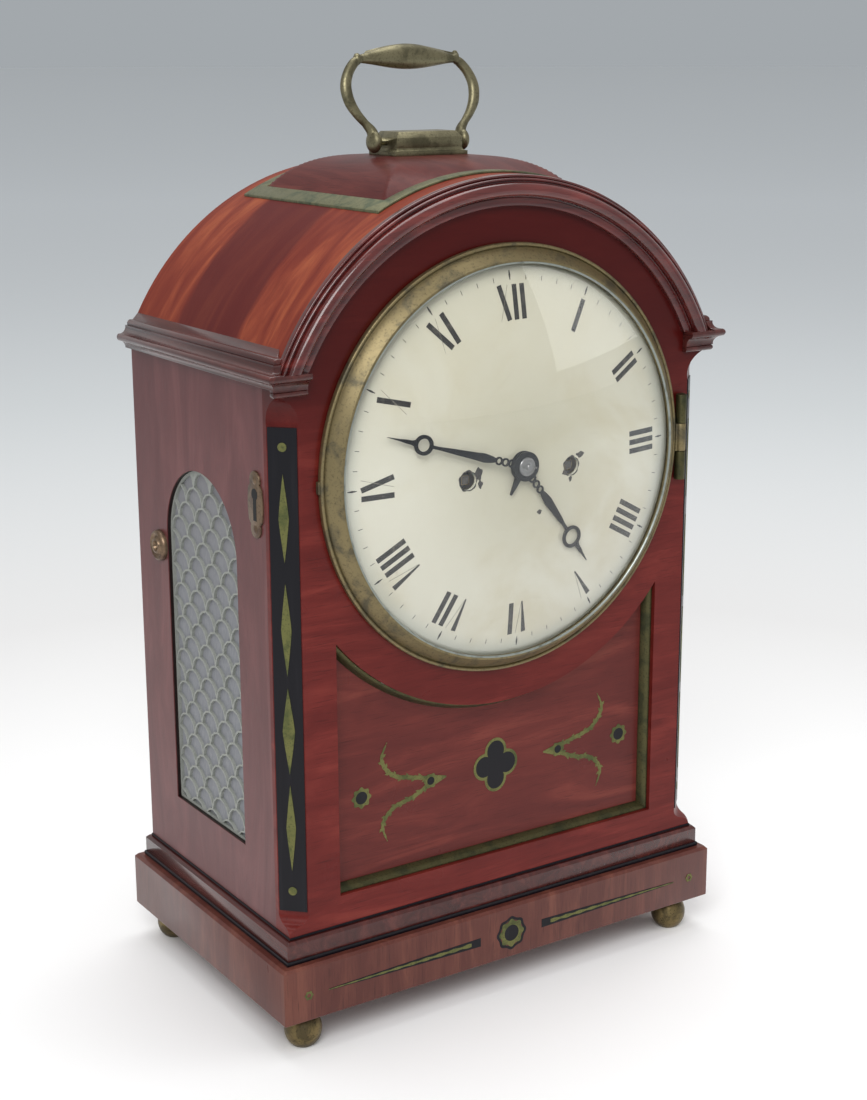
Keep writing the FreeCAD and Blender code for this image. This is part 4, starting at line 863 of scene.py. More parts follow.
def tube(bm: bmesh.types.BMesh, stations: Sequence[tuple[Vector, float, float]], flat: Vector,
         around: int = 16) -> None:
    """Bridge oval rings along a path.

    Args:
        bm: The mesh to add to.
        stations: (centre, half width in the path's plane, half width across it).
        flat: The direction across the path's plane.
        around: How many points each ring has.
    """
    loops = []
    for index, (centre, wide, deep) in enumerate(stations):
        before = stations[max(index - 1, 0)][0]
        after = stations[min(index + 1, len(stations) - 1)][0]
        side = (after - before).normalized().cross(flat)
        points = [centre + side * wide * math.cos(TURN * k / around)
                  + flat * deep * math.sin(TURN * k / around) for k in range(around)]
        loops.append(chain(bm, points, True))
    for first, second in zip(loops, loops[1:]):
        bmesh.ops.bridge_loops(bm, edges=first + second)
    for loop in (loops[0], loops[-1]):
        bmesh.ops.contextual_create(bm, geom=loop)


def mitred_band(bm: bmesh.types.BMesh, profile: Sequence[Point], half: float, front: float,
                back: float) -> None:
    """Run a closed profile round a rectangle, with mitred corners.

    Args:
        bm: The mesh to add to.
        profile: (out, height) points of the profile.
        half: Half of the rectangle's width.
        front: Its front side's y.
        back: Its back side's y.
    """
    loops = []
    for side_x, side_y in ((1, -1), (1, 1), (-1, 1), (-1, -1)):
        y = back if side_y > 0 else front
        loops.append(chain(bm, [Vector((side_x * (half + out), y + side_y * out, z))
                                for out, z in profile], True))
    for first, second in zip(loops, loops[1:] + loops[:1]):
        bmesh.ops.bridge_loops(bm, edges=first + second)


def rounded_path(points: Sequence[Vector], steps: int) -> list[Vector]:
    """Return a smooth row of points through the given ones.

    Args:
        points: The points to pass through.
        steps: Points from each one to the next.

    Returns:
        The row of points.
    """
    row = [points[0], *points, points[-1]]
    made = []
    for a, b, c, d in zip(row, row[1:], row[2:], row[3:]):
        for step in range(steps):
            t = step / steps
            made.append(0.5 * ((2 * b) + (c - a) * t + (2 * a - 5 * b + 4 * c - d) * t * t
                               + (3 * b - a - 3 * c + d) * t * t * t))
    return made + [points[-1]]


def front_place(y: float, z: float = 0.0) -> Place:
    """Return a placing on a plane that faces the front."""
    return lambda u, v, out: Vector((u, y - out, z + v))


# ---------------------------------------------------------------- pieces
class Assembly:
    """Shared way of turning a mesh into a named and dressed piece."""

    body: str = "case"

    def add(self, name: str, bm: bmesh.types.BMesh, finish: Finish, slot: str,
            body: Optional[str] = None, instead: Sequence[str] = (), smooth: float = 35.0,
            scale: float = MM) -> bpy.types.Object:
        """Make an object of a mesh and put it on its body.

        Args:
            name: The piece's name.
            bm: Its mesh, which is used up.
            finish: Its finish.
            slot: The record's material slot; not used.
            body: The body that carries it, if not the assembly's own.
            instead: The CAD nodes that it stands for.
            smooth: Edges sharper than this angle stay crisp, in degrees.
            scale: Metres per unit of the mesh.

        Returns:
            The object.
        """
        if scale != 1.0:
            bmesh.ops.scale(bm, vec=(scale,) * 3, verts=bm.verts)
        bmesh.ops.remove_doubles(bm, verts=bm.verts, dist=1e-7)
        bmesh.ops.recalc_face_normals(bm, faces=bm.faces)
        mesh = bpy.data.meshes.new(name)
        bm.to_mesh(mesh)
        bm.free()
        for polygon in mesh.polygons:
            polygon.use_smooth = True
        mesh.set_sharp_from_angle(angle=math.radians(smooth))
        made = bpy.data.objects.new(name, mesh)
        bpy.context.collection.objects.link(made)
        mesh.materials.append(finish.material())
        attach(made, body or self.body)
        if instead:
            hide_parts(*instead)
        LOG.info("%s: %d faces", name, len(mesh.polygons))
        return made

    def refined(self, node: str, finish: Finish, slot: str, bevel: float = 0.0,
                body: Optional[str] = None, crease: float = 50.0, segments: int = 2,
                keep: Callable[[Vector], bool] = lambda middle: True) -> bpy.types.Object:
        """Stand a smooth copy of a CAD node in its place, with its edges eased.

        Args:
            node: The CAD node.
            finish: The copy's finish.
            slot: The record's material slot.
            bevel: How far each sharp outer edge is eased, in millimetres.
            body: The body that carries it, if not the assembly's own.
            crease: Edges sharper than this are eased, in degrees.
            segments: Faces across an eased edge.
            keep: Whether the edge with this middle point, in millimetres, is eased.

        Returns:
            The object.
        """
        bm = bmesh.new()
        bm.from_mesh(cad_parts[node].data)
        bmesh.ops.remove_doubles(bm, verts=bm.verts, dist=2e-6)
        bmesh.ops.dissolve_limit(bm, angle_limit=math.radians(0.5), verts=bm.verts,
                                 edges=bm.edges)
        if bevel:
            sharp = [edge for edge in bm.edges
                     if len(edge.link_faces) == 2
                     and edge.calc_face_angle_signed(0.0) > math.radians(crease)
                     and keep((edge.verts[0].co + edge.verts[1].co) / (2 * MM))]
            bmesh.ops.bevel(bm, geom=sharp, offset=bevel * MM, offset_type="OFFSET",
                            affect="EDGES", segments=segments, profile=0.5, material=-1,
                            clamp_overlap=True)
        return self.add(node + "_finished", bm, finish, slot, body, (node,), scale=1.0)


def dress_node(node: str, finish: Finish) -> None:
    """Give a CAD node, kept as it is, its finish.

    Args:
        node: The node's name.
        finish: Its finish.
    """
    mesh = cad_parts[node].data
    mesh.materials.clear()
    mesh.materials.append(finish.material())


@dataclass
class CaseWork(Assembly):
    """Boards, posts, mouldings and the barrel top of the case."""

    hood_seat: float = 1.1
    pad_flat: float = 0.66
    pad_edge: float = 1.0
    pad_sink: float = 0.6
    pad_curve: float = 1.9
    pad_steps: int = 64

    def boards(self) -> None:
        """Dress the flat boards and give the rounded ones smooth copies."""
        for node in ("front_board", "corner_post_right", "corner_post_left"):
            dress_node(node, FRONT_WOOD)
        self.refined("sunk_panel", PANEL_WOOD, "mahogany")
        for node in ("side_board_right", "side_board_left"):
            self.refined(node, BOARD_WOOD, "side_veneer")
        self.refined("vault", BARREL_WOOD, "banded_veneer")
        self.refined("base_plinth", BASE_WOOD, "mahogany", bevel=0.7)
        self.refined("step_moulding", MOULD_WOOD, "mahogany", bevel=0.5)
        for node in ("cornice_right", "cornice_left"):
            self.refined(node, MOULD_WOOD, "mahogany", bevel=0.25)
        self.refined("back_frame", SIDE_WOOD, "mahogany")

    def hood(self) -> None:
        """Turn the arched moulding over the front with its coves and reeds."""
        r = VAULT_RADIUS
        profile = [(r - 15.2, 0.0), (r - 15.2, 2.6), (r - 14.9, 3.0), (r - 11.5, 3.5),
                   (r - 11.1, 3.3), (r - 10.9, 2.7), (r - 10.5, 2.8), (r - 10.45, 4.4)]
        profile += bead(r - 7.1, 4.9, 3.3, 2.9, 172, 2, 14)
        profile += [(r - 3.7, 4.3), (r - 3.5, 3.9), (r - 3.2, 3.9)]
        profile += bead(r - 2.4, 4.0, 0.75, 0.8, 176, 4, 5)
        profile += [(r - 1.6, 3.4), (r - 1.5, 2.5)]
        profile += bead(r - 0.8, 2.4, 0.7, 0.7, 176, 4, 5)
        profile += [(r, 1.8), (r, 0.0)]
        bm = bmesh.new()
        spun(bm, profile, Vector((0, FRONT, AXIS_Z)), Vector((0, -1, 0)), Vector((1, 0, 0)), 120,
             True, math.pi)
        seat = SPRING - self.hood_seat
        geom = list(bm.verts) + list(bm.edges) + list(bm.faces)
        cut = bmesh.ops.bisect_plane(bm, geom=geom, plane_co=(0, 0, seat), plane_no=(0, 0, -1),
                                     clear_outer=True)
        edges = [g for g in cut["geom_cut"] if isinstance(g, bmesh.types.BMEdge)]
        bmesh.ops.holes_fill(bm, edges=edges, sides=0)
        self.add("hood_moulding_turned", bm, HOOD_WOOD, "mahogany", instead=("hood_moulding",))

    def lines(self) -> None:
        """Run the black lines under the body and under the step."""
        bm = bmesh.new()
        for low, high, out in ((FLOOR, FLOOR + 1.3, 0.35), (BASE_TOP, BASE_TOP + 2.3, 3.2 + 0.5)):
            inner = out - 1.6
            mitred_band(bm, [(inner, low), (out, low), (out + 0.3, (low + high) / 2), (out, high),
                             (inner, high)], HALF, FRONT, BACK)
        self.add("black_lines", bm, EBONY, "ebony")

    def pad(self) -> None:
        """Dome the raised pad on the crown and finish its brass border."""
        low, high = corner("pad_top", False), corner("pad_top", True)
        half_x, half_y = (high.x - low.x) / 2, (high.y - low.y) / 2
        bm = bmesh.new()
        bmesh.ops.create_grid(bm, x_segments=self.pad_steps, y_segments=self.pad_steps, size=1.0)
        rim = [edge for edge in bm.edges if edge.is_boundary]
        skirt = bmesh.ops.extrude_edge_only(bm, edges=rim)["geom"]
        hem = {vert for vert in skirt if isinstance(vert, bmesh.types.BMVert)}
        for vert in bm.verts:
            edge = min(1 - abs(vert.co.x), 1 - abs(vert.co.y))
            x, y = vert.co.x * half_x, (low.y + high.y) / 2 + vert.co.y * half_y
            barrel = AXIS_Z + math.sqrt(VAULT_RADIUS ** 2 - x * x)
            rise = 1 - (1 - min(1.0, max(0.0, edge) / self.pad_flat)) ** self.pad_curve
            top = barrel + self.pad_edge + (high.z - barrel - self.pad_edge) * rise
            vert.co = (x, y, barrel - self.pad_sink if vert in hem else top)
        self.add("pad_domed", bm, PAD_WOOD, "mahogany", instead=("pad_top",), smooth=24.0)
        self.refined("pad_border", BORDER_BRASS, "lacquered_brass", bevel=0.3)

    def build(self) -> None:
        """Build the case."""
        self.boards()
        self.hood()
        self.lines()
        self.pad()


@dataclass
class Inlay(Assembly):
    """Brass and ebony let into the base, the sunk panel and the corners."""

    thick: float = 0.15
    base_z: float = 33.0
    base_y: float = 8.3
    panel_y: float = -7.4
    panel_z: float = 124.0
    flower_x: float = 83.0
    node_x: float = 41.1
    scoop: float = 128.0

    def base(self) -> None:
        """Lay the ring and the two long spears into the base's front."""
        y = proud(self.base_y)
        brass, black = bmesh.new(), bmesh.new()
        place = front_place(y, self.base_z)
        ring_shape(brass, (0, 0), 7.4, 4.6, self.thick, place, 64, 8, 0.7)
        ring_shape(black, (0, 0), 4.6, 0.05, self.thick, place, 32)
        ring_shape(black, (0, 0), 9.2, 7.4, self.thick * 0.5, place, 64, 8, 0.5)
        for side in (-1, 1):
            spear = [(side * (20 + 93 * t), 0.0, 2.1 * (1 - t) ** 0.8 + 0.35)
                     for t in [k / 24 for k in range(25)]]
            strip(black, spear, self.thick * 0.6, place)
            wavy = [(side * (26 + 87 * t), 0.0, (0.9 + 0.28 * math.sin(62 * t)) * (1 - 0.75 * t))
                    for t in [k / 60 for k in range(61)]]
            strip(brass, wavy, self.thick, place)
            ring_shape(brass, (side * 124.5, 0), 2.3, 1.1, self.thick, place, 24, 6, 0.3)
        self.add("base_inlay_brass", brass, INLAY_BRASS, "lacquered_brass")
        self.add("base_inlay_ebony", black, EBONY, "ebony")

    def quatrefoil(self, brass: bmesh.types.BMesh, black: bmesh.types.BMesh) -> None:
        """Lay the four-lobed figure at the middle of the panel.

        Args:
            brass: The mesh of the brass pieces.
            black: The mesh of the black mastic.
        """
        def outline(grow: float) -> list[Point]:
            """Return the figure's outline, grown by a margin."""
            points = []
            for lobe in range(4):
                middle = lobe * TURN / 4
                turn = Matrix.Rotation(middle, 2)
                for step in range(-16, 17):
                    angle = math.radians(130) * step / 16
                    at = Vector((7.2 + (5.4 + grow) * math.cos(angle),
                                 (5.4 + grow) * math.sin(angle)))
                    if abs(at.y) <= at.x:
                        at = turn @ at
                        points.append((at.x, at.y * 1.07))
            return points
        place = front_place(proud(self.panel_y), self.panel_z)
        raised(black, outline(0.0), self.thick * 1.2, place)
        outer = chain(brass, [place(u, v, 0) for u, v in outline(1.5)], True)
        inner = chain(brass, [place(u, v, 0) for u, v in outline(0.0)], True)
        made = bmesh.ops.bridge_loops(brass, edges=outer + inner)
        thicken(brass, made["faces"], Vector((0, -self.thick, 0)))

    def sprigs(self, brass: bmesh.types.BMesh, black: bmesh.types.BMesh) -> None:
        """Lay a flower ring and a forked sprig of two leafy stems on each side.

        Args:
            brass: The mesh of the brass pieces.
            black: The mesh of the black mastic.
        """
        place = front_place(proud(self.panel_y), self.panel_z)
        upper = ((41.5, 1.2), (47.0, 3.0), (54.5, 4.8), (62.6, 7.2), (68.4, 12.4), (70.8, 18.9),
                 (67.6, 26.6))
        lower = ((41.5, -1.2), (47.5, -4.6), (54.5, -7.2), (62.4, -9.0), (68.2, -13.4),
                 (70.6, -19.0), (67.8, -27.2))
        for side in (-1, 1):
            ring_shape(brass, (side * self.flower_x, 0), 5.3, 3.4, self.thick, place, 48, 8, 0.6)
            ring_shape(black, (side * self.flower_x, 0), 3.4, 0.05, self.thick, place, 24)
            ring_shape(brass, (side * self.node_x, 0), 3.9, 2.1, self.thick + 0.06, place, 36, 6,
                       0.35)
            ring_shape(black, (side * self.node_x, 0), 2.2, 0.05, self.thick + 0.12, place, 20)
            tail = [(side * (31.4 + 6.6 * t), 0.4 * (1 - t), 0.4 + 2.1 * t)
                    for t in (0, 0.35, 0.7, 1)]
            strip(brass, tail, self.thick + 0.03, place)
            for stem, rise in ((upper, 0.0), (lower, -0.02)):
                path = rounded_path([Vector((side * px, pz, 0)) for px, pz in stem], 6)
                last = len(path) - 1
                stations = [(p.x, p.y, 1.15 * min(1.0, (last - k) / 9 + 0.12)
                             + 0.22 * math.sin(2.3 * k)) for k, p in enumerate(path)]
                strip(brass, stations, self.thick + rise, place)
                for index in range(3, last - 3, 3):
                    self.leaf(brass, path[index], path[index + 1], 1 if index % 2 else -1, place)

    def leaf(self, bm: bmesh.types.BMesh, at: Vector, ahead: Vector, side: int,
             place: Place) -> None:
        """Lay one small leaf on a stem.

        Args:
            bm: The mesh to add to.
            at: Where the leaf springs from.
            ahead: The next point along the stem.
            side: 1 for the left of the stem, -1 for its right.
            place: Placing on the panel.
        """
        run = (ahead - at).normalized()
        out = Vector((-run.y, run.x, 0)) * side
        tip = at + run * 2.2 + out * 2.3
        middle = (at + tip) / 2
        swell = Vector((-(tip - at).y, (tip - at).x, 0)).normalized() * 0.8
        raised(bm, [(p.x, p.y) for p in (at, middle + swell, tip, middle - swell)],
               self.thick - 0.06, place)

    def slip(self) -> None:
        """Mitre the moulded brass slip round the opening of the panel."""
        half, low = corner("panel_slip", True).x, corner("panel_slip", False).z
        section = ((0.1, 2.4), (0.5, 2.4), (1.3, 2.8), (2.5, 4.6), (3.2, 6.3), (3.6, 7.0),
                   (3.6, 7.4), (0.1, 7.4))
        bm = bmesh.new()
        loops = []
        for inset, depth in section:
            across, radius = half - inset, self.scoop + inset
            end = math.asin(across / radius)
            loop = [(across, low + inset), (-across, low + inset)]
            loop += [(radius * math.sin(t), AXIS_Z - radius * math.cos(t))
                     for t in [end * (k / 24 - 1) for k in range(49)]]
            loops.append(chain(bm, [Vector((x, FRONT + depth, z)) for x, z in loop], True))
        for first, second in zip(loops, loops[1:] + loops[:1]):
            bmesh.ops.bridge_loops(bm, edges=first + second)
        self.add("panel_slip_moulded", bm, SLIP_BRASS, "lacquered_brass",
                 instead=("panel_slip",))

    def panel(self) -> None:
        """Lay the inlay of the sunk panel."""
        brass, black = bmesh.new(), bmesh.new()
        self.quatrefoil(brass, black)
        self.sprigs(brass, black)
        self.add("panel_inlay_brass", brass, INLAY_BRASS, "lacquered_brass")
        self.add("panel_inlay_ebony", black, EBONY, "ebony")
        self.slip()

    def corners(self) -> None:
        """Dress the ebony strips and lay lozenges and round dots on them."""
        dress_node("corner_strips", EBONY)
        bm = bmesh.new()
        strip_face = 11.0 / math.sqrt(2) - 0.6
        lozenges = (118.35, 169.0, 220.6, 275.75)
        halves = (22.65, 22.2, 23.3, 21.65)
        swells = (2.45, 3.1, 2.6, 2.55)
        for side in (-1, 1):
            outward = Vector((side, -1, 0)).normalized()
            across = Vector((1, side, 0)).normalized()
            middle = Vector((side * HALF, FRONT, 0)) - outward * strip_face

            def place(u: float, v: float, out: float) -> Vector:
                """Place a point on the canted corner."""
                return middle + across * u + outward * out + Vector((0, 0, v))

            for z, half, swell in zip(lozenges, halves, swells):
                right = [(swell * (1 - abs(t) ** 1.15), z + half * t)
                         for t in [1 - k / 8 for k in range(17)]]
                left = [(-u, v) for u, v in reversed(right[1:-1])]
                raised(bm, right + left, 0.3, place)
            for z in (84.7, 310.4):
                ring_shape(bm, (0, z), 2.2, 0.05, 0.3, place, 24)
        self.add("corner_lozenges", bm, INLAY_BRASS, "lacquered_brass",
                 instead=("corner_inlays",))

    def build(self) -> None:
        """Lay all the inlay."""
        self.base()
        self.panel()
        self.corners()


@dataclass
class SideBrasses(Assembly):
    """Pierced frets with their silk, the keyhole plate and the cord boss."""

    lock_y: float = 22.6
    lock_drop: float = 10.0
    boss_z: float = 236.4
    boss_gap: float = 8.3

    def frets(self) -> None:
        """Dress the frets and the silk behind them."""
        for side in ("right", "left"):
            self.refined("fret_" + side, FRET_BRASS, "fret_brass")
            dress_node("fret_cloth_" + side, FRET_SILK)

    def key_plate(self) -> None:
        """Cut the lobed keyhole plate with its pins, and lay a black sheet behind it as painted
        shade in the keyhole.
        """
        y, z = FRONT + self.lock_y, AXIS_Z - self.lock_drop

        def place(u: float, v: float, out: float) -> Vector:
            """Place a point (back, up, out) on the left side."""
            return Vector((-HALF - out, y + u, z + v))

        outline = []
        for sign in (1, -1):
            outline += [(sign * 6.6, sign * -8.0), (sign * 7.4, 0.0), (sign * 6.6, sign * 8.0),
                        (sign * 4.4, sign * 10.2)]
            outline += [(sign * 5.0 * math.cos(a), sign * (11.6 + 5.0 * math.sin(a)))
                        for a in [math.radians(-8 + 196 * k / 12) for k in range(13)]]
            outline += [(-sign * 4.4, sign * 10.2)]
        bm = bmesh.new()
        raised(bm, outline, 1.0, place)
        sharp = [e for e in bm.edges if all(v.co.x < -HALF - 0.9 for v in e.verts)]
        bmesh.ops.bevel(bm, geom=sharp, offset=0.35, offset_type="OFFSET", affect="EDGES",
                        segments=2, profile=0.5, material=-1)
        for v in (12.2, -12.2):
            spun(bm, [(0, 1.7), (1.4, 1.5), (2.2, 1.0), (2.3, 0.0)], place(0, v, 0),
                 Vector((-1, 0, 0)), Vector((0, 1, 0)), 24)
        self.add("keyhole_plate", bm, PLATE_BRASS, "lacquered_brass", instead=("left_brasses",))
        # Painted shade: a black sheet behind the keyhole stands for the shade in the hole.
        bm = bmesh.new()
        hole = [(2.9 * math.cos(a), 5.1 + 2.9 * math.sin(a))
                for a in [math.radians(-57 + 294 * k / 20) for k in range(21)]]
        hole += [(-1.6, -8.0), (1.6, -8.0)]
        raised(bm, hole, 1.08, place)
        self.add("keyhole_shadow", bm, HOLE_SHADE, "ebony")

    def boss(self) -> None:
        """Turn the round boss with its stepped rings."""
        centre = Vector((-HALF, corner("fret_left", True).y + self.boss_gap, self.boss_z))
        profile = [(0, 1.2), (1.9, 1.2), (2.2, 1.8), (2.5, 3.0), (3.1, 3.6), (4.0, 3.4), (4.5, 2.4),
                   (5.3, 1.9), (6.2, 2.4), (7.0, 3.0), (7.8, 2.6), (8.3, 1.5), (8.4, 0.0)]
        bm = bmesh.new()
        spun(bm, profile, centre, Vector((-1, 0, 0)), Vector((0, 1, 0)), 48)
        self.add("cord_boss", bm, PLATE_BRASS, "lacquered_brass", smooth=50.0)

    def build(self) -> None:
        """Build the brasses of the sides."""
        self.frets()
        self.key_plate()
        self.boss()


@dataclass
class Feet(Assembly):
    """Four turned brass balls under the base."""

    radius: float = 10.5
    girth: float = 0.93
    inset_x: float = 9.0
    inset_y: float = 5.0

    def build(self) -> None:
        """Turn the four feet."""
        bm = bmesh.new()
        top = corner("feet", True).z
        middle = top - self.radius
        low = math.degrees(math.asin(-middle / self.radius))
        ball = [math.radians(low + (62 - low) * k / 18) for k in range(19)]
        wide = self.radius * self.girth
        profile = [(0, 0)] + [(wide * math.cos(a), middle + self.radius * math.sin(a))
                              for a in ball] + [(6.2, top - 1.4), (6.8, top - 0.9), (6.8, top)]
        for x in (HALF - self.inset_x, self.inset_x - HALF):
            for y in (FRONT + self.inset_y, BACK - self.inset_y):
                spun(bm, profile, Vector((x, y, 0)), Vector((0, 0, 1)), Vector((1, 0, 0)), 48)
        self.add("ball_feet", bm, FOOT_BRASS, "lacquered_brass", instead=("feet",))


@dataclass
class Handle(Assembly):
    """Cast carrying handle on its moulded base block."""

    body: str = "handle"
    lean: float = 14.0
    reach: float = 44.7 - 1.3
    pivot_half: float = 26.9
    pivot_rise: float = 13.0
    ball: float = 5.7
    ball_thick: float = 3.4
    grip_half: float = 32.4
    grip_neck: float = 1.75
    grip_swell: float = 4.75
    grip_bead: float = 1.1
    grip_bow: float = 1.6
    grip_flat: float = 0.74
    # across, up, half width and half depth along an arm, from the pivot to the grip
    arm: tuple[tuple[float, float, float, float], ...] = (
        (26.6, 2.0, 3.2, 3.6), (27.6, 5.6, 2.6, 3.0), (30.6, 9.4, 2.0, 2.2), (34.6, 14.2, 2.4, 2.3),
        (37.9, 20.0, 3.0, 2.4), (39.1, 26.2, 3.1, 2.5), (38.4, 31.0, 2.9, 2.4),
        (36.0, 36.0, 2.7, 2.3), (32.6, 39.9, 2.6, 2.3), (30.4, 41.4, 2.2, 2.0))

    def tilted(self, bm: bmesh.types.BMesh) -> None:
        """Lean the whole handle back about its pivots."""
        pivot = Vector((0, MIDDLE_Y, CROWN + self.pivot_rise))
        bmesh.ops.rotate(bm, cent=pivot, matrix=Matrix.Rotation(math.radians(-self.lean), 3, "X"),
                         verts=bm.verts)

    def arms(self, bm: bmesh.types.BMesh, z: float) -> None:
        """Sweep the two arms and turn their pivot balls.

        Args:
            bm: The mesh to add to.
            z: Height of the pivots.
        """
        ball = [math.radians(-90 + 180 * k / 14) for k in range(15)]
        last = len(self.arm) - 1
        for side in (-1, 1):
            path = rounded_path([Vector((side * x, MIDDLE_Y, z + h)) for x, h, _, _ in self.arm], 5)
            stations = []
            for index, point in enumerate(path):
                t = index / (len(path) - 1) * last
                k = min(int(t), last - 1)
                sizes = [self.arm[k][row] + (self.arm[k + 1][row] - self.arm[k][row]) * (t - k)
                         for row in (2, 3)]
                stations.append((point, *sizes))
            tube(bm, stations, Vector((0, 1, 0)), 16)
            centre = Vector((side * self.pivot_half, MIDDLE_Y, z))
            spun(bm, [(self.ball * math.cos(a), self.ball_thick * math.sin(a)) for a in ball],
                 centre, Vector((1, 0, 0)), Vector((0, 0, 1)), 28)

    def grip(self, bm: bmesh.types.BMesh, z: float) -> None:
        """Turn the bowed grip, a little flatter than it is high.

        Args:
            bm: The mesh to add to.
            z: Height of the pivots.
        """
        end = self.grip_half
        row = [(0, -end)]
        for k in range(49):
            t = -1 + 2 * k / 48
            radius = self.grip_neck + self.grip_swell * max(0.0, math.cos(t * math.pi / 2)) ** 1.5
            if 0.88 < abs(t) < 0.97:
                radius += self.grip_bead
            row.append((radius if abs(t) < 1 else 1.0, end * t))
        first = len(bm.verts)
        spun(bm, row + [(0, end)], Vector((0, MIDDLE_Y, z + self.reach)), Vector((1, 0, 0)),
             Vector((0, 0, 1)), 40)
        bm.verts.ensure_lookup_table()
        for vert in bm.verts[first:]:
            vert.co.z -= self.grip_bow * (vert.co.x / end) ** 2
            vert.co.y = MIDDLE_Y + (vert.co.y - MIDDLE_Y) * self.grip_flat

    def bail(self) -> None:
        """Cast the handle: arms, pivot balls and grip in one piece."""
        z = CROWN + self.pivot_rise
        bm = bmesh.new()
        self.arms(bm, z)
        self.grip(bm, z)
        self.tilted(bm)
        self.add("handle_cast", bm, HANDLE_BRASS, "lacquered_brass", instead=("handle",),
                 smooth=50.0)

    def block(self) -> None:
        """Ease the edges of the base block that carries the pivots."""
        self.refined("handle_base", HANDLE_BRASS, "lacquered_brass", bevel=0.45, body="case",
                     crease=35.0)

    def build(self) -> None:
        """Build the handle and its block."""
        self.bail()
        self.block()


@dataclass
class Bezel(Assembly):
    """Turned brass bezel with its convex glass and hinge."""

    body: str = "bezel"
    outer: float = 109.3
    sight: float = 99.3
    bore: float = 102.3
    glass_apex: float = 25.75
    glass_thick: float = 1.8
    glass_sag: float = 18.45

    def ring(self) -> None:
        """Turn the bezel's bead, slope and inner fillet, with its hinge and catch."""
        r, s = self.outer, self.sight
        profile = [(self.bore, 0.3), (r - 0.3, 0.3), (r, 0.8), (r, 2.4)]
        profile += [(r - 1.0 + 1.0 * math.cos(a), 2.7 + 1.0 * math.sin(a))
                    for a in [math.radians(180 * k / 8) for k in range(9)]]
        profile += [(r - 2.2, 2.9)]
        profile += [(r - 2.3 - 4.4 * t, 3.0 + 5.5 * t ** 0.75)
                    for t in (0.08, 0.2, 0.4, 0.6, 0.8, 1)]
        profile += [(s + 2.9, 8.9), (s + 2.2, 9.6), (s + 1.0, 9.75), (s + 0.2, 9.3), (s, 8.6),
                    (s, 8.15), (self.bore, 8.15)]
        bm = bmesh.new()
        dial_spun(bm, profile, 224, True)
        pin_x, pin_out = r + 3.2, 3.25
        third = 46.0 / 3
        spun(bm, [(0, -third / 2 + 0.3), (2.7, -third / 2 + 0.3), (2.9, -third / 2 + 0.6),
                  (2.9, third / 2 - 0.6), (2.7, third / 2 - 0.3), (0, third / 2 - 0.3)],
             Vector((pin_x, proud(pin_out), AXIS_Z)), Vector((0, 0, 1)), Vector((1, 0, 0)), 24)
        place = front_place(proud(pin_out - 1.0), AXIS_Z)
        raised(bm, [(r - 0.8, -third / 2 + 0.4), (pin_x, -third / 2 + 0.4),
                    (pin_x, third / 2 - 0.4), (r - 0.8, third / 2 - 0.4)], 2.0, place)
        raised(bm, [(-r - 0.9, -3.0), (-r + 1.0, -3.0), (-r + 1.0, 3.0), (-r - 0.9, 3.0)], 2.2,
               front_place(proud(0.4), AXIS_Z))
        self.add("bezel_turned", bm, BEZEL_BRASS, "lacquered_brass", instead=("bezel",))
        self.refined("bezel_hinge", SLIP_BRASS, "lacquered_brass", bevel=0.3, body="case")
        bm = bmesh.new()
        dial_spun(bm, [(s + 0.15, 8.9), (s + 0.15, 9.5), (s + 0.5, 9.9), (s + 1.1, 9.95),
                       (s + 1.2, 9.4), (s + 0.7, 8.9)], 192, True)
        self.add("sight_ring", bm, SIGHT_STEEL, "lacquered_brass")

    def glass(self) -> None:
        """Slump the convex glass."""
        radius = self.bore - 1.0
        rows = [radius * k / 28 for k in range(29)]
        outer = [(r, self.glass_apex - self.glass_sag * (r / radius) ** 2) for r in rows]
        inner = [(r, h - self.glass_thick) for r, h in reversed(outer)]
        bm = bmesh.new()
        dial_spun(bm, outer + inner, 160)
        self.add("bezel_glass_slumped", bm, BEZEL_GLASS, "clear_glass",
                 instead=("bezel_glass",), smooth=60.0)

    def build(self) -> None:
        """Build the bezel."""
        self.ring()
        self.glass()


class Stroke(Enum):
    """The strokes of the Roman numerals."""

    BAR = "I"
    VEE = "V"
    CROSS = "X"


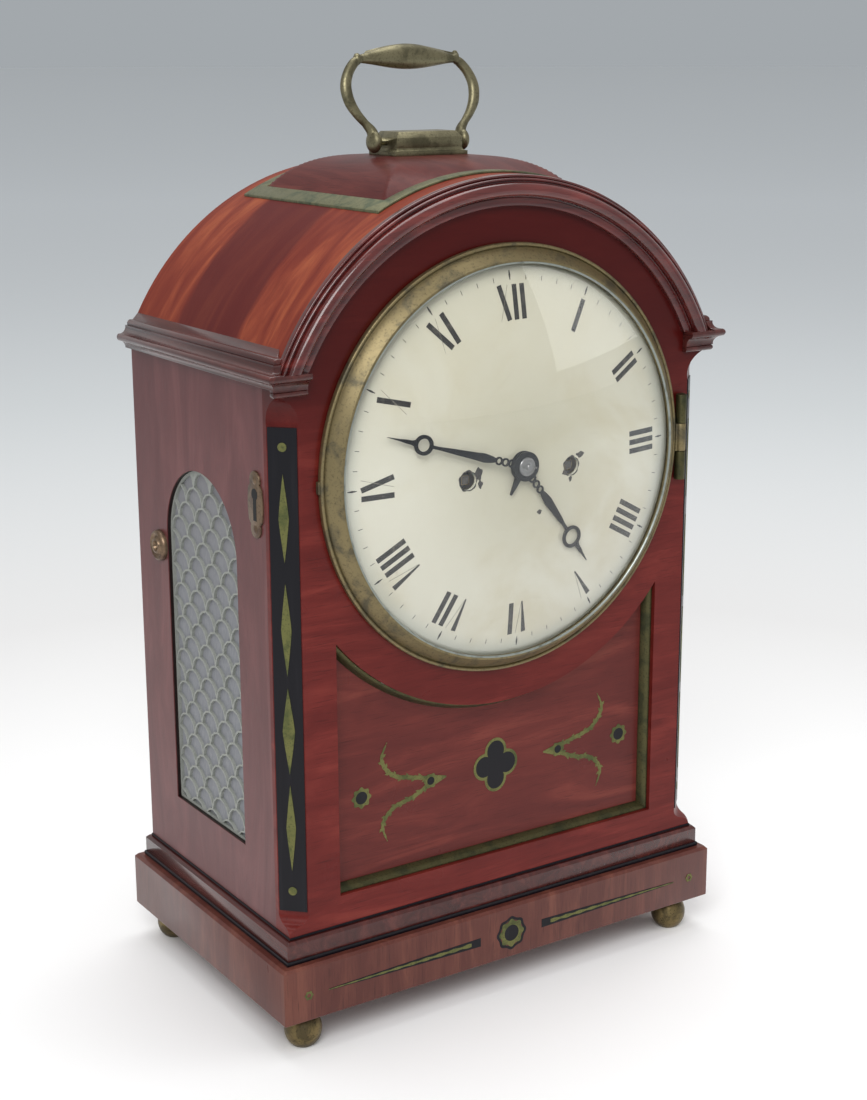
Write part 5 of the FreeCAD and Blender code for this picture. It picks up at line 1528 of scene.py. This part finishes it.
@dataclass
class Dial(Assembly):
    """Convex painted dial with its numerals, minute marks and worn holes."""

    radius: float = 100.6
    apex: float = 13.25
    sag: float = 8.5
    thick: float = 1.6
    numeral_radius: float = 80.7
    numeral_height: float = 17.2
    bar: float = 2.75
    pitch: float = 4.6
    hair: float = 0.22
    lift: float = 0.06
    turned: float = -1.8
    holes: tuple[tuple[float, float, float], ...] = (
        (31.6, -4.3, 4.6), (-31.6, -4.3, 4.6), (0.0, 0.0, 4.2), (11.8, -25.6, 0.8))

    def height(self, radius: float) -> float:
        """Return how far the dial stands in front of the case at a radius."""
        return self.apex - self.sag * (radius / self.radius) ** 2

    def place(self, u: float, v: float, out: float) -> Vector:
        """Place a point (right, up, out) of the dial's face."""
        return Vector((u, proud(self.height(math.hypot(u, v)) + out), AXIS_Z + v))

    def plate(self) -> None:
        """Raise the dial plate and drill its holes."""
        rows = [self.radius * k / 30 for k in range(31)]
        outer = [(r, self.height(r)) for r in rows[:-1]]
        outer += [(self.radius - 0.3, self.height(self.radius) - 0.02),
                  (self.radius, self.height(self.radius) - 0.4)]
        inner = [(r, self.height(r) - self.thick) for r in reversed(rows)]
        bm = bmesh.new()
        dial_spun(bm, outer + inner, 192)
        made = self.add("dial_painted", bm, DIAL_PAINT, "painted_iron", instead=("dial",),
                        smooth=50.0)
        cutter = bmesh.new()
        for x, z, r in self.holes:
            spun(cutter, [(0, -5), (r, -5), (r, 30), (0, 30)], Vector((x, FRONT, AXIS_Z + z)),
                 Vector((0, -1, 0)), Vector((1, 0, 0)), 48)
        bmesh.ops.recalc_face_normals(cutter, faces=cutter.faces)
        bmesh.ops.scale(cutter, vec=(MM,) * 3, verts=cutter.verts)
        bore(made, cutter)
        feet = bmesh.new()
        for angle in (50, 130, 270):
            a = math.radians(angle)
            centre = Vector((59.5 * math.cos(a), FRONT, AXIS_Z + 59.5 * math.sin(a)))
            spun(feet, [(0, -15.9), (2.2, -15.9), (2.2, 9.0), (0, 9.0)], centre,
                 Vector((0, -1, 0)), Vector((1, 0, 0)), 20)
        self.add("dial_feet", feet, DARK_IRON, "polished_steel")

    def strokes(self, text: str) -> tuple[list, list]:
        """Return the thick and the thin strokes of a numeral.

        Args:
            text: The numeral, in I, V and X.

        Returns:
            Two lists of (across, up, across, up, width, end width).
        """
        half = self.numeral_height / 2
        steps = {"I": self.pitch, "V": 9.6, "X": 8.6}
        total = sum(steps[letter] for letter in text)
        at = -total / 2
        thick, thin = [], []
        for letter in text:
            middle = at + steps[letter] / 2
            kind = Stroke(letter)
            if kind is Stroke.BAR:
                thick.append((middle, half, middle, -half, self.bar, self.bar))
            elif kind is Stroke.VEE:
                thick.append((middle - 1.4, half, middle + 0.5, -half, self.bar, 0.7))
                thin.append((middle + 3.6, half, middle + 0.8, -half, self.hair, self.hair))
            else:
                thick.append((middle - 2.4, half, middle + 2.4, -half, self.bar, self.bar))
                thin.append((middle + 2.6, half, middle - 2.6, -half, self.hair, self.hair))
            at += steps[letter]
        return thick, thin

    def numerals(self) -> None:
        """Paint the hours; each numeral stands with its foot towards the centre."""
        words = ("XII", "I", "II", "III", "IIII", "V", "VI", "VII", "VIII", "IX", "X", "XI")
        bold, fine = bmesh.new(), bmesh.new()
        for hour, text in enumerate(words):
            angle = math.radians(30 * hour + self.turned)

            def place(u: float, v: float, out: float, angle: float = angle) -> Vector:
                """Place a point of this numeral on the dial."""
                r = self.numeral_radius + v
                return self.place(u * math.cos(angle) + r * math.sin(angle),
                                  -u * math.sin(angle) + r * math.cos(angle), out)

            thick, thin = self.strokes(text)
            for group, bm in ((thick, bold), (thin, fine)):
                for u0, v0, u1, v1, w0, w1 in group:
                    stations = [(u0 + (u1 - u0) * t, v0 + (v1 - v0) * t,
                                 (w0 + (w1 - w0) * t) / 2) for t in (0, 0.25, 0.5, 0.75, 1)]
                    strip(bm, stations, self.lift, place)
        for minute in range(60):
            angle = math.radians(6 * minute + self.turned)
            five = minute % 5 == 0
            low, high = (91.4, 96.2) if five else (91.2, 93.6)
            stations = [(r * math.sin(angle), r * math.cos(angle), w)
                        for r, w in ((low, 0.15), ((low + high) / 2, 0.55 if five else 0.16),
                                     (high, 0.22 if five else 0.14))]
            strip(bold, stations, self.lift, self.place)
        self.add("dial_numerals", bold, DIAL_INK, "blued_steel")
        self.add("dial_fine_lines", fine, FINE_INK, "blued_steel")

    def wear(self) -> None:
        """Lay the worn edges round the winding holes."""
        bm = bmesh.new()
        chips = ((31.6, -4.3, 4.6, 5.2, 0.25), (-31.6, -4.3, 4.6, 5.3, 0.25))
        for x, z, inner, outer, rough in chips:
            loops = []
            for radius, wave in ((outer, rough), (inner, 0.0)):
                points = []
                for k in range(40):
                    a = TURN * k / 40
                    reach = radius + wave * (math.sin(5 * a + x) + 0.7 * math.sin(9 * a + 1.3))
                    points.append(self.place(x + reach * math.cos(a), z + reach * math.sin(a),
                                             self.lift))
                loops += chain(bm, points, True)
            bmesh.ops.bridge_loops(bm, edges=loops)
        spots = ((37.4, 0.9, 2.6, 1.5), (27.6, -7.2, 1.9, 1.3), (31.2, -11.0, 1.0, 1.5),
                 (-25.4, -1.4, 2.0, 3.2), (-24.6, -6.8, 1.4, 2.0), (11.8, -25.6, 1.5, 1.2))
        for x, z, wide, tall in spots:
            outline = [(x + wide * math.cos(a) * (1 + 0.22 * math.sin(3 * a + x)),
                        z + tall * math.sin(a) * (1 + 0.2 * math.cos(4 * a + z)))
                       for a in [TURN * k / 20 for k in range(20)]]
            bm.faces.new([bm.verts.new(self.place(u, v, self.lift)) for u, v in outline])
        bmesh.ops.solidify(bm, geom=list(bm.faces), thickness=0.03)
        self.add("worn_hole_edges", bm, DARK_IRON, "polished_steel")

    def squares(self) -> None:
        """Cap the winding squares that stand behind the holes in steel."""
        for side, body in ((1, "going_fusee"), (-1, "strike_fusee")):
            bm = bmesh.new()
            x, z = side * 31.6, AXIS_Z - 4.3
            low, high = -4.0, 9.9
            corners = [(x - 2.3, -2.3), (x + 2.3, -2.3), (x + 2.3, 2.3), (x - 2.3, 2.3)]
            raised(bm, corners, high - low, front_place(proud(low), z))
            bmesh.ops.bevel(bm, geom=list(bm.edges), offset=0.3, offset_type="OFFSET",
                            affect="EDGES", segments=2, profile=0.5, material=-1)
            self.add("winding_square_" + ("right" if side > 0 else "left"), bm, ARBOR_STEEL,
                     "polished_steel", body=body)
        # Painted shade: black rings behind the winding holes stand for the shade inside them.
        bm = bmesh.new()
        for side in (1, -1):
            spun(bm, [(3.6, 1.0), (3.6, 1.6), (7.5, 1.6), (7.5, 1.0)],
                 Vector((side * 31.6, FRONT, AXIS_Z - 4.3)), Vector((0, -1, 0)),
                 Vector((1, 0, 0)), 40, True)
        self.add("hole_shades", bm, HOLE_SHADE, "ebony")

    def build(self) -> None:
        """Build the dial."""
        self.plate()
        self.numerals()
        self.wear()
        self.squares()


def bore(target: bpy.types.Object, cutter: bmesh.types.BMesh) -> None:
    """Cut a closed mesh out of a piece and keep the result as its mesh.

    Args:
        target: The piece.
        cutter: The mesh to cut with, which is used up.
    """
    mesh = bpy.data.meshes.new("cutter")
    cutter.to_mesh(mesh)
    cutter.free()
    tool = bpy.data.objects.new("cutter", mesh)
    bpy.context.collection.objects.link(tool)
    step = target.modifiers.new("holes", "BOOLEAN")
    step.operation = "DIFFERENCE"
    step.solver = "EXACT"
    step.object = tool
    bpy.context.view_layer.update()
    graph = bpy.context.evaluated_depsgraph_get()
    cut = bpy.data.meshes.new_from_object(target.evaluated_get(graph))
    target.modifiers.clear()
    target.data = cut
    for polygon in cut.polygons:
        polygon.use_smooth = True
    cut.set_sharp_from_angle(angle=math.radians(50.0))
    bpy.data.objects.remove(tool)
    bpy.data.meshes.remove(mesh)


@dataclass
class Hands(Assembly):
    """Blued steel hands with ring heads, and the collet that holds them."""

    thick: float = 0.75
    minute: float = 47.7
    hour: float = 4.727
    boss: float = 7.5
    tail_turn: float = 66.0

    def hand(self, name: str, body: str, node: str, degrees: float, back: float, fall: float,
             length: float, ring: tuple[float, float, float], tail: float, hole: float) -> None:
        """Pierce and bend one hand.

        Args:
            name: The piece's name.
            body: The body that turns with it.
            node: The CAD node that it stands for.
            degrees: Where it points, clockwise from the top.
            back: Its back face in front of the case, at the centre.
            fall: How far its tip bends back.
            length: Centre to tip.
            ring: Centre of its ring, and the ring's two radii.
            tail: Length of the tail.
            hole: Radius of the hole in its boss.
        """
        angle = math.radians(degrees)
        at, outer, inner = ring

        def place(u: float, v: float, out: float) -> Vector:
            """Place a point of the hand, bent to follow the dial."""
            r = math.hypot(u, v)
            lift = back - fall * (r / length) ** 2 + 0.08 + out
            return Vector((u * math.cos(angle) + v * math.sin(angle), proud(lift),
                           AXIS_Z - u * math.sin(angle) + v * math.cos(angle)))

        bm = bmesh.new()
        ring_shape(bm, (0, 0), self.boss, hole, self.thick, place, 48)
        bead = self.boss - 0.5
        for size in (2.2, 2.15, 2.1):
            ring_shape(bm, (0, bead + size), size, size * 0.6, self.thick, place, 24)
            bead += 1.85 * size
        swell = bead + 7.0
        leaf = [(bead - 0.4, 0.9), (bead + 2.6, 1.7), (swell, 2.3), (swell + 5, 1.9),
                ((swell + at) / 2, 1.35), (at - outer - 4, 0.85), (at - outer + 0.5, 0.8)]
        strip(bm, [(0, v, w) for v, w in leaf], self.thick, place)
        ring_shape(bm, (0, at), outer, inner, self.thick, place, 36)
        tip = [(at + outer - 0.6, 1.7), (at + outer + 1.6, 1.05), (at + outer + 4.5, 0.95),
               ((at + outer + length) / 2, 0.6), (length - 0.3, 0.12)]
        strip(bm, [(0, v, w) for v, w in tip], self.thick, place)
        if tail:
            run = Matrix.Rotation(math.radians(-self.tail_turn), 2) @ Vector((0, 1))
            strip(bm, [(run.x * r, run.y * r, w) for r, w in ((6.8, 1.9), (11, 1.3), (tail, 0.5))],
                  self.thick, place)
        self.add(name, bm, BLUED_STEEL, "blued_steel", body=body, instead=(node,))

    def collet(self) -> None:
        """Turn the collet and push the taper pin through the arbor."""
        start = 17.9
        profile = [(0, start - 0.2), (4.7, start - 0.2), (4.7, start + 0.5), (4.3, start + 0.9),
                   (3.4, start + 1.2), (2.6, start + 1.1), (2.3, start + 1.3), (1.5, start + 1.3),
                   (1.5, start + 2.5), (1.2, start + 2.75), (0, start + 2.75)]
        bm = bmesh.new()
        dial_spun(bm, profile, 48)
        turn = math.radians(8.0)
        run = Vector((math.cos(turn), 0, -math.sin(turn)))
        middle = Vector((0, proud(start + 1.95), AXIS_Z))
        tube(bm, [(middle - run * 3.4, 0.34, 0.34), (middle + run * 4.6, 0.5, 0.5)],
             Vector((0, 1, 0)), 12)
        self.add("collet_and_pin", bm, POLISHED_STEEL, "polished_steel", body="centre_arbor",
                 instead=("hand_collet",))

    def build(self) -> None:
        """Build both hands and the collet."""
        self.hand("minute_hand_pierced", "centre_arbor", "minute_hand", self.minute * 6, 17.0, 7.4,
                  79.8, (60.2, 5.0, 3.2), 0.0, 1.6)
        self.hand("hour_hand_pierced", "hour_wheel", "hour_hand", self.hour * 30, 14.4, 4.9,
                  71.8, (52.9, 5.9, 4.1), 16.0, 3.25)
        self.collet()


@dataclass
class RearDoor(Assembly):
    """Glazed rear door with its hinges and knob."""

    body: str = "rear_door"

    def build(self) -> None:
        """Build the rear door's finished pieces."""
        self.refined("rear_door", SIDE_WOOD, "mahogany", bevel=0.5)
        self.refined("rear_pane", PANE_GLASS, "clear_glass")
        self.refined("rear_door_fittings", PLATE_BRASS, "lacquered_brass", bevel=0.3)
        self.refined("rear_hinge_plates", PLATE_BRASS, "lacquered_brass", bevel=0.2, body="case")


@dataclass
class Movement(Assembly):
    """Finishes of the two trains, the plates and the bell."""

    moving: tuple[str, ...] = ("centre_arbor", "hour_wheel", "minute_wheel", "going_fusee",
                               "strike_fusee", "going_barrel", "strike_barrel", "third_wheel",
                               "escape_wheel", "pin_wheel")
    fixed: tuple[str, ...] = ("front_plate", "back_plate", "pillars", "back_cock")

    def build(self) -> None:
        """Dress the movement's nodes."""
        for node in self.moving:
            self.refined(node, MOVEMENT_BRASS, "movement_brass", body=node)
        for node in self.fixed:
            self.refined(node, MOVEMENT_BRASS, "movement_brass")
        self.refined("pendulum", MOVEMENT_BRASS, "movement_brass", body="pendulum")
        self.refined("bell_stand", MOVEMENT_BRASS, "movement_brass")
        self.refined("bell", BELL_METAL, "bell_bronze")
        self.refined("pallets", POLISHED_STEEL, "polished_steel", body="pallets")
        self.refined("hammer", POLISHED_STEEL, "polished_steel", body="hammer")
        dress_node("seat_board", OAK)


# ---------------------------------------------------------------- studio
@dataclass(frozen=True)
class Paper(Finish):
    """Pale paper floor, with painted shade that greys it with distance."""

    row: tuple[tuple[float, Colour], ...] = (
        (0.016, (0.657, 0.704, 0.741)), (0.154, (0.79, 0.84, 0.88)), (0.364, (0.72, 0.755, 0.77)),
        (0.59, (0.735, 0.735, 0.735)), (0.80, (0.93, 0.93, 0.93)), (1.0, (0.96, 0.96, 0.96)))

    def lay(self, graph: Graph) -> None:
        """Build the nodes of the floor."""
        x, y, _ = graph.split(graph.coordinates)
        radius = graph.reach(x, y)
        fibre = graph.cloud(4.0, 2.0)
        # Painted shade: the floor is lighter near the clock and greyer further off, as the lamps'
        # light falls off.
        near = graph.sum("DIVIDE", 1.0, graph.sum("ADD", radius, 1.0))
        tone = graph.stops(near, self.row)
        graph.dress(Base_Color=tone, Roughness=0.85, Specular_IOR_Level=0.1,
                    Normal=graph.relief(fibre, 0.1, 0.05))


@dataclass
class Studio:
    """Floor, soft lamps, surroundings and the camera of the photograph."""

    azimuth: float = -33.831
    elevation: float = 14.73
    roll: float = -0.076
    eye: tuple[float, float, float] = (-541.94, -829.43, 490.21)
    focal: float = 1887.80
    principal: Point = (450.66, 546.35)
    picture: tuple[int, int] = (867, 1100)
    floor_radius: float = 60.0

    def camera(self) -> None:
        """Set the camera where the photograph was taken."""
        data = bpy.data.cameras.new("camera")
        camera = bpy.data.objects.new("camera", data)
        bpy.context.collection.objects.link(camera)
        wide, high = self.picture
        data.sensor_width = 36.0
        data.lens = 36.0 * self.focal / high
        data.shift_x = (wide / 2 - self.principal[0]) / high
        data.shift_y = (self.principal[1] - high / 2) / high
        a, e = math.radians(self.azimuth), math.radians(self.elevation)
        back = Vector((math.sin(a) * math.cos(e), -math.cos(a) * math.cos(e), math.sin(e)))
        turn = (-back).to_track_quat("-Z", "Y").to_matrix()
        roll = Matrix.Rotation(math.radians(self.roll), 3, "Z")
        camera.matrix_world = Matrix.Translation(Vector(self.eye) * MM) @ (turn @ roll).to_4x4()
        data.clip_start, data.clip_end = 0.01, 100.0
        bpy.context.scene.camera = camera

    def floor(self) -> None:
        """Lay the round pale floor."""
        bm = bmesh.new()
        bmesh.ops.create_circle(bm, cap_ends=True, radius=self.floor_radius, segments=96)
        mesh = bpy.data.meshes.new("floor")
        bm.to_mesh(mesh)
        bm.free()
        mesh.materials.append(Paper("floor_paper").material())
        floor = bpy.data.objects.new("floor", mesh)
        bpy.context.collection.objects.link(floor)

    def lamp(self, name: str, at: Sequence[float], size: float, power: float,
             mirrored: bool = True) -> None:
        """Hang one square soft lamp that faces the clock.

        Args:
            name: The lamp's name.
            at: Where it hangs, in metres.
            size: Its side, in metres.
            power: Its power, in watts.
            mirrored: Whether polished surfaces mirror it.
        """
        data = bpy.data.lights.new(name, "AREA")
        data.shape = "SQUARE"
        data.size = size
        data.energy = power
        lamp = bpy.data.objects.new(name, data)
        bpy.context.collection.objects.link(lamp)
        lamp.location = at
        lamp.visible_glossy = mirrored
        aim = Vector((0.0, 0.0, 0.25)) - Vector(at)
        lamp.rotation_mode = "QUATERNION"
        lamp.rotation_quaternion = aim.to_track_quat("-Z", "Y")

    def surroundings(self) -> None:
        """Light the room softly; the camera sees a grey-blue wall."""
        world = bpy.data.worlds.new("studio")
        bpy.context.scene.world = world
        world.use_nodes = True
        nodes, links = world.node_tree.nodes, world.node_tree.links
        nodes.clear()
        output = nodes.new("ShaderNodeOutputWorld")
        mix = nodes.new("ShaderNodeMixShader")
        room = nodes.new("ShaderNodeBackground")
        room.inputs[0].default_value = (1.0, 1.0, 1.0, 1.0)
        room.inputs[1].default_value = 0.55
        wall = nodes.new("ShaderNodeBackground")
        wall.inputs[0].default_value = (*paint(163, 168, 172), 1.0)
        wall.inputs[1].default_value = 1.0
        rays = nodes.new("ShaderNodeLightPath")
        links.new(rays.outputs["Is Camera Ray"], mix.inputs[0])
        links.new(room.outputs[0], mix.inputs[1])
        links.new(wall.outputs[0], mix.inputs[2])
        links.new(mix.outputs[0], output.inputs[0])

    def build(self) -> None:
        """Build the studio."""
        self.camera()
        self.floor()
        self.surroundings()
        self.lamp("key", (-1.3, -1.5, 1.9), 1.3, 34.0)
        self.lamp("top", (0.2, 0.3, 2.2), 1.6, 22.0)
        self.lamp("fill", (1.8, -1.2, 1.1), 1.2, 9.0, mirrored=False)
        bpy.context.scene.view_settings.view_transform = "Standard"


def main() -> None:
    """Build the clock and its studio."""
    logging.basicConfig(level=logging.INFO, format="%(name)s %(message)s")
    Studio().build()
    for assembly in (CaseWork(), Inlay(), SideBrasses(), Feet(), Handle(), Bezel(), Dial(),
                     Hands(), RearDoor(), Movement()):
        LOG.info("building %s", type(assembly).__name__)
        assembly.build()


if __name__ == "__main__":
    main()
